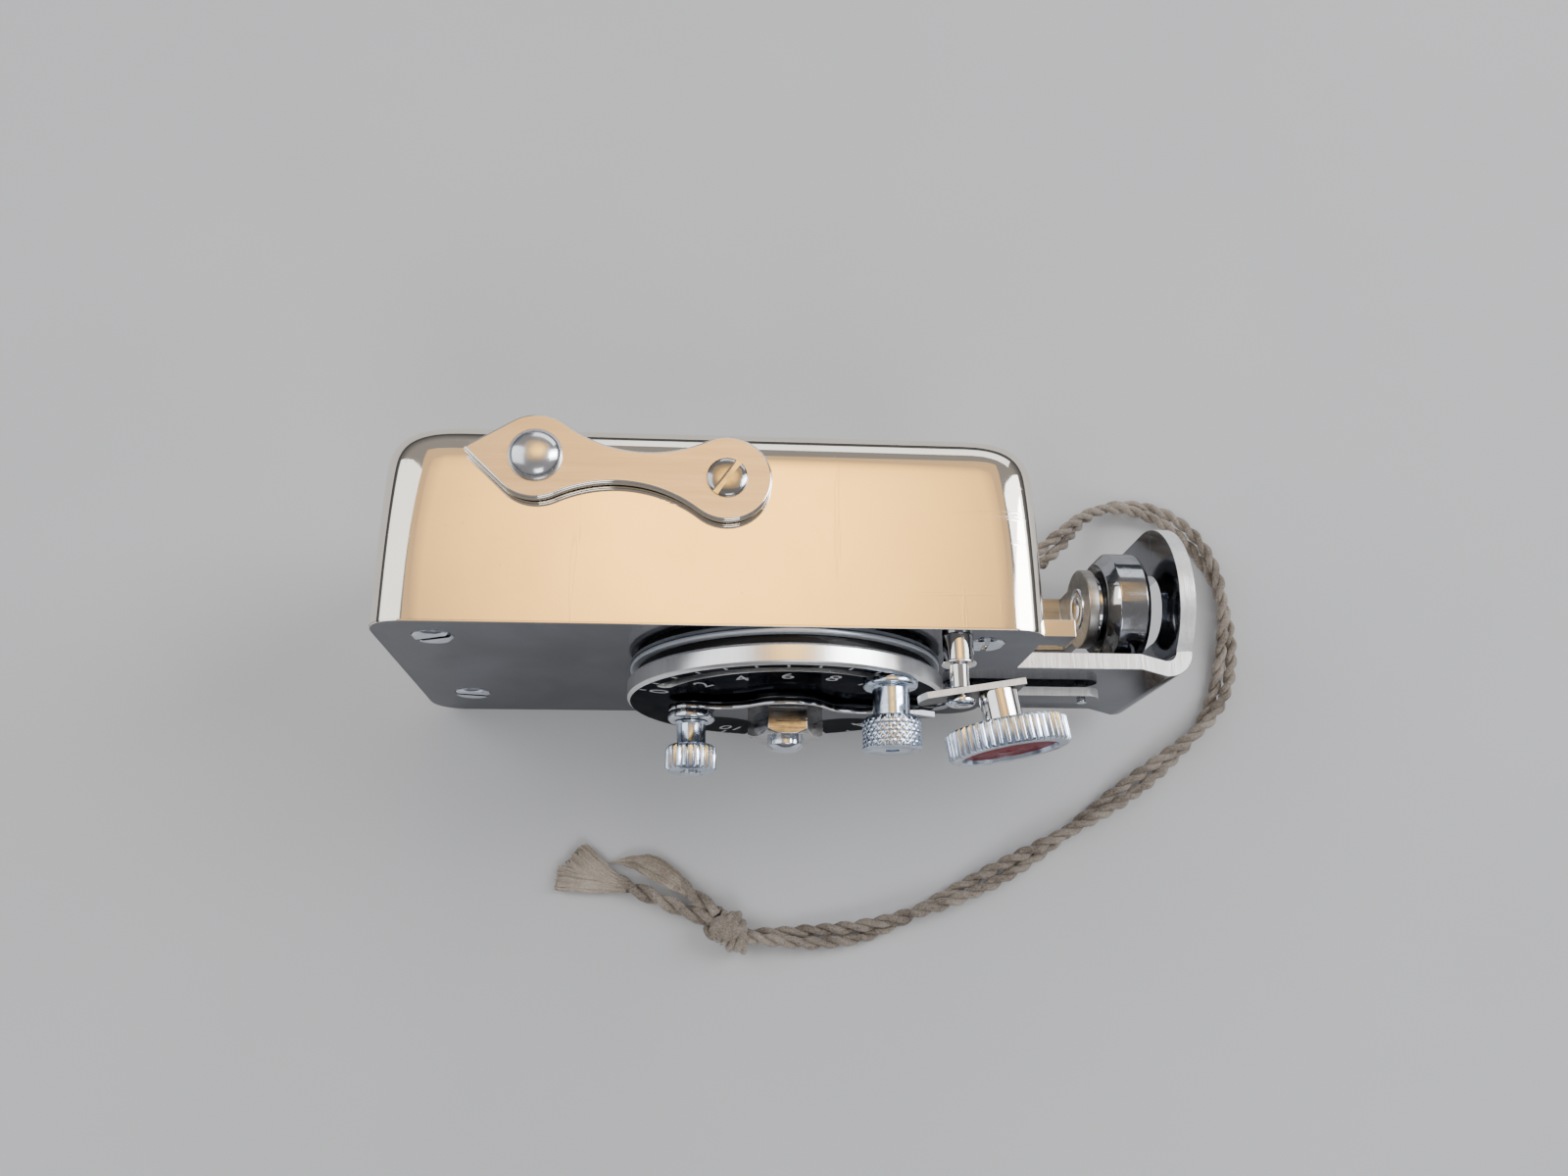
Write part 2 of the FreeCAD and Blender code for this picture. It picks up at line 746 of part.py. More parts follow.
def slotted_screw(name, head_radius, head_length, shank_radius, shank_length, slot_depth, x, y, z, rotation):
    """Cheese-head screw. Its local zero is the underside of the head, and the head points up."""
    body = turned_body(name + "_turned_body", [
        (0, -shank_length), (shank_radius, -shank_length), (shank_radius, 0), (head_radius, 0),
        (head_radius, head_length * 0.7), (head_radius * 0.88, head_length), (0, head_length)])
    slot = box(
        name + "_slot", head_radius * 3, head_radius * SLOT_SHARE, slot_depth * 2,
        -head_radius * 1.5, -head_radius * SLOT_SHARE / 2, head_length - slot_depth)
    whole = cut(name, body, [slot])
    return place(whole, x, y, z, rotation)


def movement_frame():
    rear = front_y + plate_thick
    frame_at = front_y + movement_plate_at
    pillar_length = movement_plate_at - plate_thick
    bored = []
    heads = []
    rear_heads = []
    for number, (x, z) in enumerate(screw_places()):
        pillar = cylinder("pillar_%d" % number, pillar_radius, pillar_length, x, frame_at, z, TO_FRONT)
        bore = cylinder(
            "pillar_bore_%d" % number, screw_radius + screw_play, pillar_length * 1.2,
            x, frame_at + pillar_length * 0.1, z, TO_FRONT)
        bored.append(cut("pillar_bored_%d" % number, pillar, [bore]))
        turn = TO_FRONT.multiply(FreeCAD.Rotation(Vector(0, 0, 1), 25 + 70 * number))
        heads.append(slotted_screw(
            "case_screw_%d" % number, screw_head_radius, screw_sunk + screw_proud, screw_radius,
            plate_thick * 2, screw_proud + screw_sunk / 2, x, front_y + screw_sunk, z, turn))
        to_back = FreeCAD.Rotation(Vector(1, 0, 0), -90)
        rear_heads.append(slotted_screw(
            "rear_screw_%d" % number, screw_head_radius, screw_sunk * 2, screw_radius,
            plate_thick * 2, screw_sunk, x, frame_at + movement_plate_thick, z, to_back))
    keep(group("pillars", bored), "movement_pillars")
    keep(group("case_screw_group", heads), "case_screws")
    keep(group("rear_screw_group", rear_heads), "movement_screws")

    outline = rounded_rectangle(
        -movement_plate_width / 2, movement_plate_width / 2, movement_plate_low, movement_plate_high,
        corner_round)
    circles = [(x, z, screw_radius + screw_play) for x, z in screw_places()]
    circles.append((dial_x, dial_z, pivot_radius + pivot_play))
    for x, z in (second_centre(), fly_centre()):
        circles.append((x, z, pivot_radius + pivot_play))
    circles.append((cover_x, cover_z, screw_radius + screw_play))
    frame = plate_body("movement_sheet", movement_plate_thick, outline, circles)
    keep(place(frame, 0, frame_at + movement_plate_thick, 0, TO_FRONT), "movement_plate")

    post_start = frame_at + movement_plate_thick
    post_length = case_depth / 2 - shell_wall - post_start
    post = cylinder(
        "cover_post_blank", pillar_radius, post_length, cover_x, post_start + post_length, cover_z, TO_FRONT)
    foot = cylinder(
        "cover_post_foot", screw_radius, movement_plate_thick, cover_x, post_start, cover_z, TO_FRONT)
    solid = fuse("cover_post_solid", [post, foot])
    bore = cylinder(
        "cover_post_bore", screw_radius + screw_play, post_length * 0.7,
        cover_x, post_start + post_length * 1.1, cover_z, TO_FRONT)
    keep(cut("cover_post_part", solid, [bore]), "cover_post")
    keep(slotted_screw(
        "cover_screw_part", screw_head_radius, screw_sunk * 2, screw_radius, shell_wall + post_length / 2,
        screw_sunk, cover_x, case_depth / 2, cover_z, FreeCAD.Rotation(Vector(1, 0, 0), -90)), "cover_screw")


def dial_stack():
    """Flange, black drum and dial, one in front of the other on the front plate."""
    bore = arbor_radius + pivot_play * 2
    flange = turned_body("dial_flange_part", [
        (bore, 0), (flange_radius, 0), (flange_radius, flange_thick), (bore, flange_thick)])
    keep(place(flange, dial_x, front_y, dial_z, TO_FRONT), "dial_flange")
    drum = turned_body("dial_drum_part", [
        (bore, 0), (drum_radius, 0), (drum_radius, drum_thick), (bore, drum_thick)])
    keep(place(drum, dial_x, front_y - flange_thick, dial_z, TO_FRONT), "dial_drum")
    dial = turned_body("time_dial_part", [
        (bore, 0), (dial_radius - dial_bevel, 0), (dial_radius, dial_bevel),
        (dial_radius, dial_thick - dial_bevel), (dial_radius - dial_bevel, dial_thick), (bore, dial_thick)])
    # The stop's bolt slides in the narrow slot, and its head in the wider groove behind it.
    slot = plate_body("dial_slot", dial_thick * 3, slot_outline(stop_bolt_radius + stop_play))
    place(slot, 0, 0, -dial_thick)
    groove = plate_body("dial_groove", stop_groove * 2, slot_outline(stop_bolt_head + stop_play))
    place(groove, 0, 0, -stop_groove)
    slotted = cut("time_dial_slotted", dial, [slot, groove])
    keep(place(slotted, dial_x, front_y - flange_thick - drum_thick, dial_z, TO_FRONT), "time_dial")


def slot_outline(half_width):
    """Curved slot along the way of the stop, with round ends."""
    half = float(half_width)
    reach = float(stop_radius_at)
    start = float(stop_angle - stop_spare)
    end = float(stop_angle + stop_travel + stop_spare)
    centre = Vector(0, 0, 0)
    return [
        arc_about(centre, reach + half, start, end),
        arc_about(on_circle(centre, reach, end), half, end, end + 180),
        arc_about(centre, reach - half, start, end),
        arc_about(on_circle(centre, reach, start), half, start + 180, start + 360),
    ]


def gear_points(teeth, module, phase):
    """Corners of a spur gear with involute flanks. The phase is a tooth's direction in degrees."""
    pitch = teeth * module / 2
    base = pitch * math.cos(PRESSURE)
    tip = pitch + ADDENDUM * module
    root = pitch - DEDENDUM * module
    half = math.pi / (2 * teeth) - TOOTH_PLAY * math.pi / teeth
    lean = math.tan(PRESSURE) - PRESSURE

    def half_angle(radius):
        if radius <= base:
            return half + lean
        slope = math.acos(base / radius)
        return half + lean - (math.tan(slope) - slope)

    low = max(base, root)
    steps = [low + (tip - low) * k / 4 for k in range(5)]
    flank = [(radius, half_angle(radius)) for radius in steps]
    if root < base:
        flank.insert(0, (root, half_angle(base)))
    points = []
    for tooth in range(teeth):
        middle = math.radians(phase) + 2 * math.pi * tooth / teeth
        for radius, angle in flank:
            points.append(Vector(radius * math.cos(middle - angle), radius * math.sin(middle - angle), 0))
        for radius, angle in reversed(flank):
            points.append(Vector(radius * math.cos(middle + angle), radius * math.sin(middle + angle), 0))
    return points


def prism(points, thick):
    face = Part.Face(Part.makePolygon(points + [points[0]]))
    return face.extrude(Vector(0, 0, thick))


def gear(name, teeth, module, thick, bore, phase, windows=0, holes=()):
    """A gear about its local Z axis, with a bore and, for a large wheel, round windows and holes."""
    module = float(module)
    solid = prism(gear_points(teeth, module, phase), float(thick))
    tools = [Part.makeCylinder(float(bore), float(thick) * 3, Vector(0, 0, -float(thick)))]
    for k in range(windows):
        turn = math.radians(phase) + 2 * math.pi * (k + 0.5) / windows
        reach = teeth * module * WINDOW_REACH
        centre = Vector(reach * math.cos(turn), reach * math.sin(turn), -float(thick))
        tools.append(Part.makeCylinder(teeth * module * WINDOW_RADIUS, float(thick) * 3, centre))
    for across, up, radius in holes:
        centre = Vector(float(across), float(up), -float(thick))
        tools.append(Part.makeCylinder(float(radius), float(thick) * 3, centre))
    for tool in tools:
        solid = solid.cut(tool)
    return feature(name, solid)


def hand_outline():
    """Winding hand: a round hub, a lobe for the peg on the left and a pointed arm on the right."""
    hub = float(hand_hub)
    left = -float(hand_left_reach)
    left_round = float(hand_left_round)
    neck = float(hand_neck)
    right = float(hand_right_reach)
    right_round = float(hand_right_round)
    tip = float(hand_tip_reach)

    def waist(first_x, first_round, second_x, second_round, half):
        """Centre height and radius of the hollow arc that touches both rounds."""
        span = second_x - first_x
        start = (span ** 2 + first_round ** 2 - second_round ** 2) / (2 * span)
        slope = (first_round - second_round) / span
        middle = 2 * start * slope - 2 * (first_round - half)
        last = start ** 2 + half ** 2 - first_round ** 2
        radius = (-middle - math.sqrt(middle ** 2 - 4 * slope ** 2 * last)) / (2 * slope ** 2)
        return first_x + start + slope * radius, half + radius, radius

    rx, rz, rr = waist(0.0, hub, right, right_round, neck)
    lx, lz, lr = waist(left, left_round, 0.0, hub, float(hand_left_waist))
    angle = lambda ax, az, bx, bz: math.degrees(math.atan2(bz - az, bx - ax))
    hub_right = angle(0, 0, rx, rz)
    hub_left = angle(0, 0, lx, lz)
    lobe_left = angle(left, 0, lx, lz)
    lobe_right = angle(right, 0, rx, rz)
    taper = math.degrees(math.acos(right_round / (tip - right)))
    centre_hub = Vector(0, 0, 0)
    centre_left = Vector(left, 0, 0)
    centre_right = Vector(right, 0, 0)
    end = Vector(tip, 0, 0)
    upper = on_circle(centre_right, right_round, taper)
    lower = on_circle(centre_right, right_round, -taper)
    return [
        arc_about(centre_hub, hub, hub_right, hub_left),
        arc_about(Vector(lx, lz, 0), lr, lobe_left + 180, hub_left + 180),
        arc_about(centre_left, left_round, lobe_left, 360 - lobe_left),
        arc_about(Vector(lx, -lz, 0), lr, 180 - hub_left, 180 - lobe_left),
        arc_about(centre_hub, hub, -hub_left, -hub_right),
        arc_about(Vector(rx, -rz, 0), rr, 180 - lobe_right, 180 - hub_right),
        arc_about(centre_right, right_round, -lobe_right, -taper),
        line(lower, end),
        line(end, upper),
        arc_about(centre_right, right_round, taper, lobe_right),
        arc_about(Vector(rx, rz, 0), rr, hub_right + 180, lobe_right + 180),
    ]


def knurled(name, profile, radius, depth, teeth, low, high):
    """A turned head with straight grooves round its rim between two heights."""
    blank = turned_body(name + "_blank", profile)
    points = []
    for k in range(teeth):
        middle = 2 * math.pi * k / teeth
        step = 2 * math.pi / teeth
        for offset, reach in ((-GROOVE_HALF, radius - depth), (-CREST_HALF, radius), (CREST_HALF, radius)):
            turn = middle + offset * step
            points.append(Vector(float(reach) * math.cos(turn), float(reach) * math.sin(turn), float(low)))
    ring_tool = Part.makeCylinder(float(radius) * 1.5, float(high - low), Vector(0, 0, float(low)))
    star = Part.Face(Part.makePolygon(points + [points[0]])).extrude(Vector(0, 0, float(high - low)))
    grooves = feature(name + "_grooves", ring_tool.cut(star))
    return cut(name, blank, [grooves])


def winding_group():
    """Everything that turns with the winding arbor."""
    rack_pitch = rack_module * RACK_PINION_TEETH / 2
    root = rack_pitch - rack_module * DEDENDUM
    pinion_start = rack_at + rack_thick + pinion_play
    pinion_end = rack_at - pinion_play
    arbor_end = movement_plate_at + movement_plate_thick * PIVOT_SHARE
    seat_end = second_wheel_at + wheel_thick * 0.3
    arbor = turned_body("arbor_turned", [
        (0, -arbor_end), (pivot_radius, -arbor_end), (pivot_radius, -seat_end), (arbor_thread, -seat_end),
        (arbor_thread, -pinion_start), (root, -pinion_start), (root, -pinion_end),
        (arbor_radius, -pinion_end), (arbor_radius, hand_rear), (arbor_thread, hand_rear),
        (arbor_thread, arbor_reach - arbor_edge), (arbor_thread - arbor_edge, arbor_reach), (0, arbor_reach)])
    leaves = feature("arbor_leaves", prism(
        gear_points(RACK_PINION_TEETH, float(rack_module), -90 - 180 / RACK_PINION_TEETH),
        float(pinion_start - pinion_end)))
    place(leaves, 0, 0, -pinion_start)
    keep(place(fuse("arbor_part", [arbor, leaves]), dial_x, front_y, dial_z, TO_FRONT), "winding_arbor")

    washer = turned_body("hand_washer_part", [
        (arbor_radius + screw_play, 0), (hand_hub * 0.8, 0), (hand_hub * 0.8, hand_gap - seat_play),
        (arbor_radius + screw_play, hand_gap - seat_play)])
    keep(place(washer, dial_x, front_y - dial_front - seat_play, dial_z, TO_FRONT), "hand_washer")

    hand = plate_body("hand_part", hand_thick, hand_outline(), [
        (0, 0, arbor_thread + screw_play), (-hand_left_reach, 0, peg_pin + screw_play)])
    turn = TO_FRONT.multiply(FreeCAD.Rotation(Vector(0, 0, 1), -float(hand_lean)))
    keep(place(hand, dial_x, front_y - hand_rear, dial_z, turn), "winding_hand")

    across = float(nut_flats) / math.sqrt(3)
    corners = [on_circle(Vector(0, 0, 0), across, 60 * k) for k in range(6)]
    hexagon = feature("nut_hexagon", prism(corners, float(nut_thick)))
    crown = turned_body("nut_crown", [
        (0, 0), (across + nut_edge, 0), (across, nut_thick - nut_edge), (across - nut_edge, nut_thick),
        (0, nut_thick)])
    flats = common("nut_flats_part", hexagon, crown)
    collar = cylinder("nut_collar_part", nut_collar, nut_collar_thick, 0, 0, 0)
    solid = fuse("nut_solid", [flats, collar])
    bore = cylinder("nut_bore", arbor_thread + screw_play, nut_thick * 3, 0, 0, -nut_thick)
    keep(place(cut("nut_part", solid, [bore]), dial_x, front_y - hand_front, dial_z, TO_FRONT), "hand_nut")

    peg_x, peg_z = peg_centre()
    post = turned_body("peg_post_part", [
        (0, -hand_thick), (peg_pin, -hand_thick), (peg_pin, 0), (peg_collar, 0),
        (peg_collar, peg_collar_thick - edge_break), (peg_collar - edge_break, peg_collar_thick),
        (peg_pin, peg_collar_thick), (peg_pin, peg_top() + edge_break), (0, peg_top() + edge_break)])
    keep(place(post, peg_x, front_y - hand_front, peg_z, TO_FRONT), "peg_post")

    great = gear("great_wheel_part", GREAT_TEETH, wheel_module, wheel_thick, arbor_thread + screw_play,
                 float(second_angle), 5, [(click_across, -click_drop, click_pin_radius + screw_play)])
    keep(place(great, dial_x, front_y + great_wheel_at + wheel_thick, dial_z, TO_FRONT), "great_wheel")

    points = []
    for k in range(RATCHET_TEETH):
        start = 2 * math.pi * k / RATCHET_TEETH
        step = 2 * math.pi / RATCHET_TEETH
        points.append(on_circle(Vector(), float(ratchet_tip), math.degrees(start)))
        points.append(on_circle(Vector(), float(ratchet_root), math.degrees(start + step * RATCHET_UNDERCUT)))
    wheel = prism(points, float(wheel_thick))
    through = float(wheel_thick)
    below = Vector(0, 0, -through)
    wheel = wheel.cut(Part.makeCylinder(float(arbor_thread + screw_play), through * 3, below))
    ratchet = feature("ratchet_part", wheel)
    keep(place(ratchet, dial_x, front_y + ratchet_at + wheel_thick, dial_z, TO_FRONT), "ratchet_wheel")

    # The click lies on the great wheel's front face, with its nose just off the ratchet's rim.
    reach = float(ratchet_tip + click_play)
    click_middle = Vector(float(click_across), -float(click_drop), 0)
    click_points = [Vector(0, -reach, 0), Vector(float(click_nose), -reach - float(click_play) / 2, 0)]
    click_points += [on_circle(click_middle, float(click_eye), angle) for angle in (120, 60, 0, -60, -120)]
    pawl = prism(click_points, float(wheel_thick - seat_play * 2))
    pawl = pawl.cut(Part.makeCylinder(
        float(click_pin_radius + screw_play), through * 3, click_middle + below))
    click = feature("click_part", pawl)
    keep(place(click, dial_x, front_y + great_wheel_at - seat_play, dial_z, TO_FRONT), "click")
    pin = cylinder("click_pin_shank", click_pin_radius, wheel_thick * 2, 0, 0, 0)
    head = cylinder("click_pin_head", click_pin_radius * 1.9, click_pin_head, 0, 0, wheel_thick * 2)
    pin_whole = fuse("click_pin_part", [pin, head])
    keep(place(pin_whole, dial_x + click_across, front_y + great_wheel_at + wheel_thick, dial_z - click_drop,
               TO_FRONT), "click_pin")


def peg_centre():
    lean = math.radians(float(hand_lean))
    return dial_x - hand_left_reach * math.cos(lean), dial_z + hand_left_reach * math.sin(lean)


def peg_top():
    return peg_collar_thick + seat_play + peg_neck_length + peg_head_length


def winding_peg():
    """Grip that spins on its post at the hand's left end."""
    start = peg_collar_thick + seat_play
    neck_end = start + peg_neck_length
    bore = peg_pin + pivot_play
    x, z = peg_centre()
    peg = knurled("winding_peg_part", [
        (bore, start), (peg_neck + edge_break, start), (peg_neck, start + edge_break),
        (peg_neck, neck_end - edge_break), (peg_head - peg_shoulder, neck_end),
        (peg_head, neck_end + peg_shoulder), (peg_head, peg_top() - peg_shoulder),
        (peg_head - peg_shoulder, peg_top()), (bore, peg_top())],
        peg_head, peg_knurl, PEG_TEETH, neck_end - edge_break, peg_top() + edge_break)
    keep(place(peg, x, front_y - hand_front, z, TO_FRONT), "winding_peg")


def stop_centre():
    turn = math.radians(float(stop_angle))
    return dial_x + stop_radius_at * math.cos(turn), dial_z + stop_radius_at * math.sin(turn)


def time_stop():
    """Bolt whose head slides in the dial's groove, and the clamp knob on it."""
    x, z = stop_centre()
    back = flange_thick + drum_thick
    bolt = turned_body("stop_bolt_turned", [
        (0, back + stop_play), (stop_bolt_head, back + stop_play),
        (stop_bolt_head, back + stop_groove - seat_play), (stop_bolt_radius, back + stop_groove - seat_play),
        (stop_bolt_radius, stop_top() - edge_break), (0, stop_top() - edge_break)])
    keep(place(bolt, x, front_y, z, TO_FRONT), "time_stop")

    start = dial_front + stop_play
    collar_end = start + stop_collar_thick
    stem_end = collar_end + stop_stem_length
    bore = stop_bolt_radius + pivot_play
    knob = knurled("stop_knob_part", [
        (bore, start), (stop_collar, start), (stop_collar, collar_end), (stop_stem, collar_end),
        (stop_stem, stem_end - edge_break), (stop_head - stop_shoulder, stem_end),
        (stop_head, stem_end + stop_shoulder), (stop_head, stop_top() - edge_break),
        (stop_head - edge_break, stop_top()), (bore, stop_top())],
        stop_head, stop_knurl, STOP_TEETH, stem_end + edge_break, stop_top() + edge_break)
    keep(place(knob, x, front_y, z, TO_FRONT), "stop_knob")


def stop_top():
    return dial_front + stop_play + stop_collar_thick + stop_stem_length + stop_head_length


def start_group():
    """Stud, tilted start lever and its knurled knob with a coloured recess."""
    rivet = plate_thick + edge_break
    pin_end = lever_stand + lever_thick + lever_screw_thick + edge_break
    stud = turned_body("lever_stud_part", [
        (0, -rivet), (stud_neck, -rivet), (stud_neck, 0), (stud_radius, 0),
        (stud_radius, stud_length - edge_break), (stud_radius + stud_rim, stud_length - edge_break),
        (stud_radius + stud_rim, stud_length), (stud_neck, stud_length),
        (stud_neck, lever_stand - lever_play), (stud_pin, lever_stand - lever_play), (stud_pin, pin_end),
        (0, pin_end)])
    keep(place(stud, stud_x, front_y, stud_z, TO_FRONT), "lever_stud")

    screw = turned_body("lever_screw_part", [
        (stud_pin + screw_play, 0), (lever_screw_head, 0), (lever_screw_head, lever_screw_thick - edge_break),
        (lever_screw_head - edge_break, lever_screw_thick), (stud_pin + screw_play, lever_screw_thick)])
    screw_at = lever_stand + lever_thick + edge_break
    keep(place(screw, stud_x, front_y - screw_at, stud_z, TO_FRONT), "lever_cap")

    # The lever leans about the vertical, so that its knob end is nearer the case.
    lean = FreeCAD.Rotation(Vector(0, 0, 1), float(lever_tilt)).multiply(TO_FRONT)
    lever = plate_body("start_lever_part", lever_thick, start_lever_outline(), [
        (0, 0, stud_pin + pivot_play * 2), (start_arm, 0, start_tenon)])
    keep(place(lever, stud_x, front_y - lever_stand, stud_z, lean), "start_lever")

    stem = turned_body("start_stem_part", [
        (0, 0), (start_tenon - screw_play, 0), (start_tenon - screw_play, lever_thick),
        (start_stem_radius, lever_thick), (start_stem_radius, lever_thick + start_stem_length),
        (0, lever_thick + start_stem_length)])
    start_x, start_y = start_base()
    keep(place(stem, start_x, start_y, stud_z, lean), "start_stem")

    base = lever_thick + start_stem_length
    top = base + start_knob_length
    knob = knurled("start_knob_part", [
        (0, base), (start_stem_radius, base), (start_knob_radius - edge_break, base),
        (start_knob_radius, base + edge_break), (start_knob_radius, top - edge_break),
        (start_knob_radius - edge_break, top), (start_recess_radius, top),
        (start_recess_radius, top - start_recess), (0, top - start_recess)],
        start_knob_radius, start_knurl, KNOB_TEETH, base - edge_break, top + edge_break)
    keep(place(knob, start_x, start_y, stud_z, lean), "start_knob")
    inlay = turned_body("start_inlay_part", [
        (0, top - start_recess), (start_recess_radius - screw_play, top - start_recess),
        (start_recess_radius - screw_play, top - start_recess + inlay_thick),
        (0, top - start_recess + inlay_thick + inlay_crown)])
    keep(place(inlay, start_x, start_y, stud_z, lean), "start_inlay")


def start_base():
    lean = math.radians(float(lever_tilt))
    return stud_x + start_arm * math.cos(lean), front_y - lever_stand + start_arm * math.sin(lean)


def start_lever_outline():
    half = float(lever_half_height)
    stop_x, _ = stop_centre()
    left = -float(stud_x - stop_x - lever_stop_gap)
    right = float(lever_right_reach)
    wide = half * 1.15
    shoulder = left + half * 0.4
    return [
        line(Vector(shoulder, -half, 0), Vector(right, -wide, 0)),
        line(Vector(right, -wide, 0), Vector(right, wide, 0)),
        line(Vector(right, wide, 0), Vector(shoulder, half, 0)),
        Part.Arc(Vector(shoulder, half, 0), Vector(left, 0, 0), Vector(shoulder, -half, 0)),
    ]


def catch_group():
    """Flat catch that lies in front of the leg, on a shouldered screw."""
    half = float(catch_height) / 2
    reach = float(catch_reach)
    outline = [
        line(Vector(0, -half, 0), Vector(reach - half, -half, 0)),
        Part.Arc(Vector(reach - half, -half, 0), Vector(reach, 0, 0), Vector(reach - half, half, 0)),
        line(Vector(reach - half, half, 0), Vector(0, half, 0)),
        Part.Arc(Vector(0, half, 0), Vector(-half, 0, 0), Vector(0, -half, 0)),
    ]
    lever = plate_body("catch_lever_part", catch_thick, outline, [
        (0, 0, screw_radius + pivot_play), (catch_reach - catch_height / 2, 0, catch_pin)])
    keep(place(lever, catch_x, front_y - catch_gap, catch_z, TO_FRONT), "catch_lever")
    rivet = plate_thick + edge_break * 2
    under = catch_gap + catch_thick + seat_play
    top = under + edge_break * 2
    screw = turned_body("catch_screw_turned", [
        (0, -rivet), (screw_radius, -rivet), (screw_radius, 0), (catch_shoulder, 0),
        (catch_shoulder, catch_gap - seat_play), (screw_radius, catch_gap - seat_play),
        (screw_radius, under), (catch_shoulder, under), (catch_shoulder, top), (0, top + seat_play * 3)])
    keep(place(screw, catch_x, front_y, catch_z, TO_FRONT), "catch_screw")
    pin_end = catch_thick + catch_pin_rise
    pin_radius = catch_pin - screw_play
    pin = turned_body("catch_pin_part", [
        (0, -edge_break), (pin_radius, -edge_break), (pin_radius, pin_end), (0, pin_end)])
    pin_x = catch_x + catch_reach - catch_height / 2
    keep(place(pin, pin_x, front_y - catch_gap, catch_z, TO_FRONT), "catch_pin")


def pusher_group():
    """Sliding bar with its rack, the tongue that it is bent into, and the cup on the tongue."""
    flat = box(
        "bar_flat", tongue_left + bar_thick - bar_inner_end, bar_width, bar_thick,
        bar_inner_end, push_y - bar_width / 2, bar_top - bar_thick)
    web = box(
        "bar_web", bar_thick, bar_width, push_height - bar_top + bar_thick, tongue_left,
        push_y - bar_width / 2, bar_top - bar_thick)
    disc = cylinder("bar_disc", tongue_round, bar_thick, tongue_left, push_y, push_height, TO_RIGHT)
    solid = fuse("bar_solid", [flat, web, disc])
    hole = cylinder(
        "bar_hole", rivet_shank + screw_play, bar_thick * 3, tongue_left - bar_thick, push_y, push_height,
        TO_RIGHT)
    keep(cut("bar_part", solid, [hole]), "pusher_bar")

    cup_start = bar_thick
    rim = cup_start + cup_neck_length
    end = rim + cup_length
    cup = turned_body("cup_turned", [
        (rivet_shank + screw_play, cup_start), (cup_neck_radius, cup_start), (cup_neck_radius, rim),
        (cup_radius - cup_round, rim), (cup_radius, rim + cup_round), (cup_radius, end - cup_edge),
        (cup_radius - cup_edge, end), (cup_bore, end), (cup_bore, end - cup_bore_depth),
        (rivet_shank + screw_play, end - cup_bore_depth)])
    keep(place(cup, tongue_left, push_y, push_height, TO_RIGHT), "pusher_cup")
    rivet = turned_body("rivet_turned", [
        (0, -rivet_rise), (rivet_head - rivet_rise, -rivet_rise), (rivet_head, 0), (rivet_shank, 0),
        (rivet_shank, end - cup_bore_depth), (rivet_head, end - cup_bore_depth),
        (rivet_head - cup_edge, end - cup_bore_depth + rivet_end), (0, end - cup_bore_depth + rivet_end)])
    keep(place(rivet, tongue_left, push_y, push_height, TO_RIGHT), "pusher_rivet")

    # Rack: one tooth stands under the arbor, and the rest follow at the circular pitch.
    module = float(rack_module)
    pitch = math.pi * module
    line_z = float(dial_z) - module * RACK_PINION_TEETH / 2
    slope = math.tan(PRESSURE)
    half = pitch / 4 - TOOTH_PLAY * pitch / 2
    low = float(bar_top)
    teeth = range(RACK_FIRST, RACK_LAST + 1)
    first = float(dial_x) + (RACK_FIRST - 1) * pitch
    last = float(dial_x) + (RACK_LAST + 1.5) * pitch
    foot_z = line_z - DEDENDUM * module
    crest_z = line_z + ADDENDUM * module
    points = [Vector(first, low, 0), Vector(last, low, 0), Vector(last, foot_z, 0)]
    for k in reversed(teeth):
        centre = float(dial_x) + k * pitch
        wide = half + DEDENDUM * module * slope
        narrow = half - ADDENDUM * module * slope
        points += [
            Vector(centre + wide, foot_z, 0), Vector(centre + narrow, crest_z, 0),
            Vector(centre - narrow, crest_z, 0), Vector(centre - wide, foot_z, 0)]
    points.append(Vector(first, foot_z, 0))
    rack = feature("rack_part", prism(points, float(rack_thick)))
    keep(place(rack, 0, front_y + rack_at + rack_thick, 0, TO_FRONT), "pusher_rack")

    guides = []
    for name, x in (("left", guide_left_x), ("right", guide_right_x)):
        block = box(
            "guide_block_" + name, guide_length, movement_plate_at - plate_thick,
            bar_thick + guide_wall * 2, x, front_y + plate_thick, bar_top - bar_thick - guide_wall)
        way = box(
            "guide_way_" + name, guide_length * 2, bar_width + bar_play * 2, bar_thick + bar_play * 2,
            x - guide_length / 2, push_y - bar_width / 2 - bar_play, bar_top - bar_thick - bar_play)
        guides.append(cut("guide_" + name, block, [way]))
    keep(group("guides", guides), "pusher_guides")


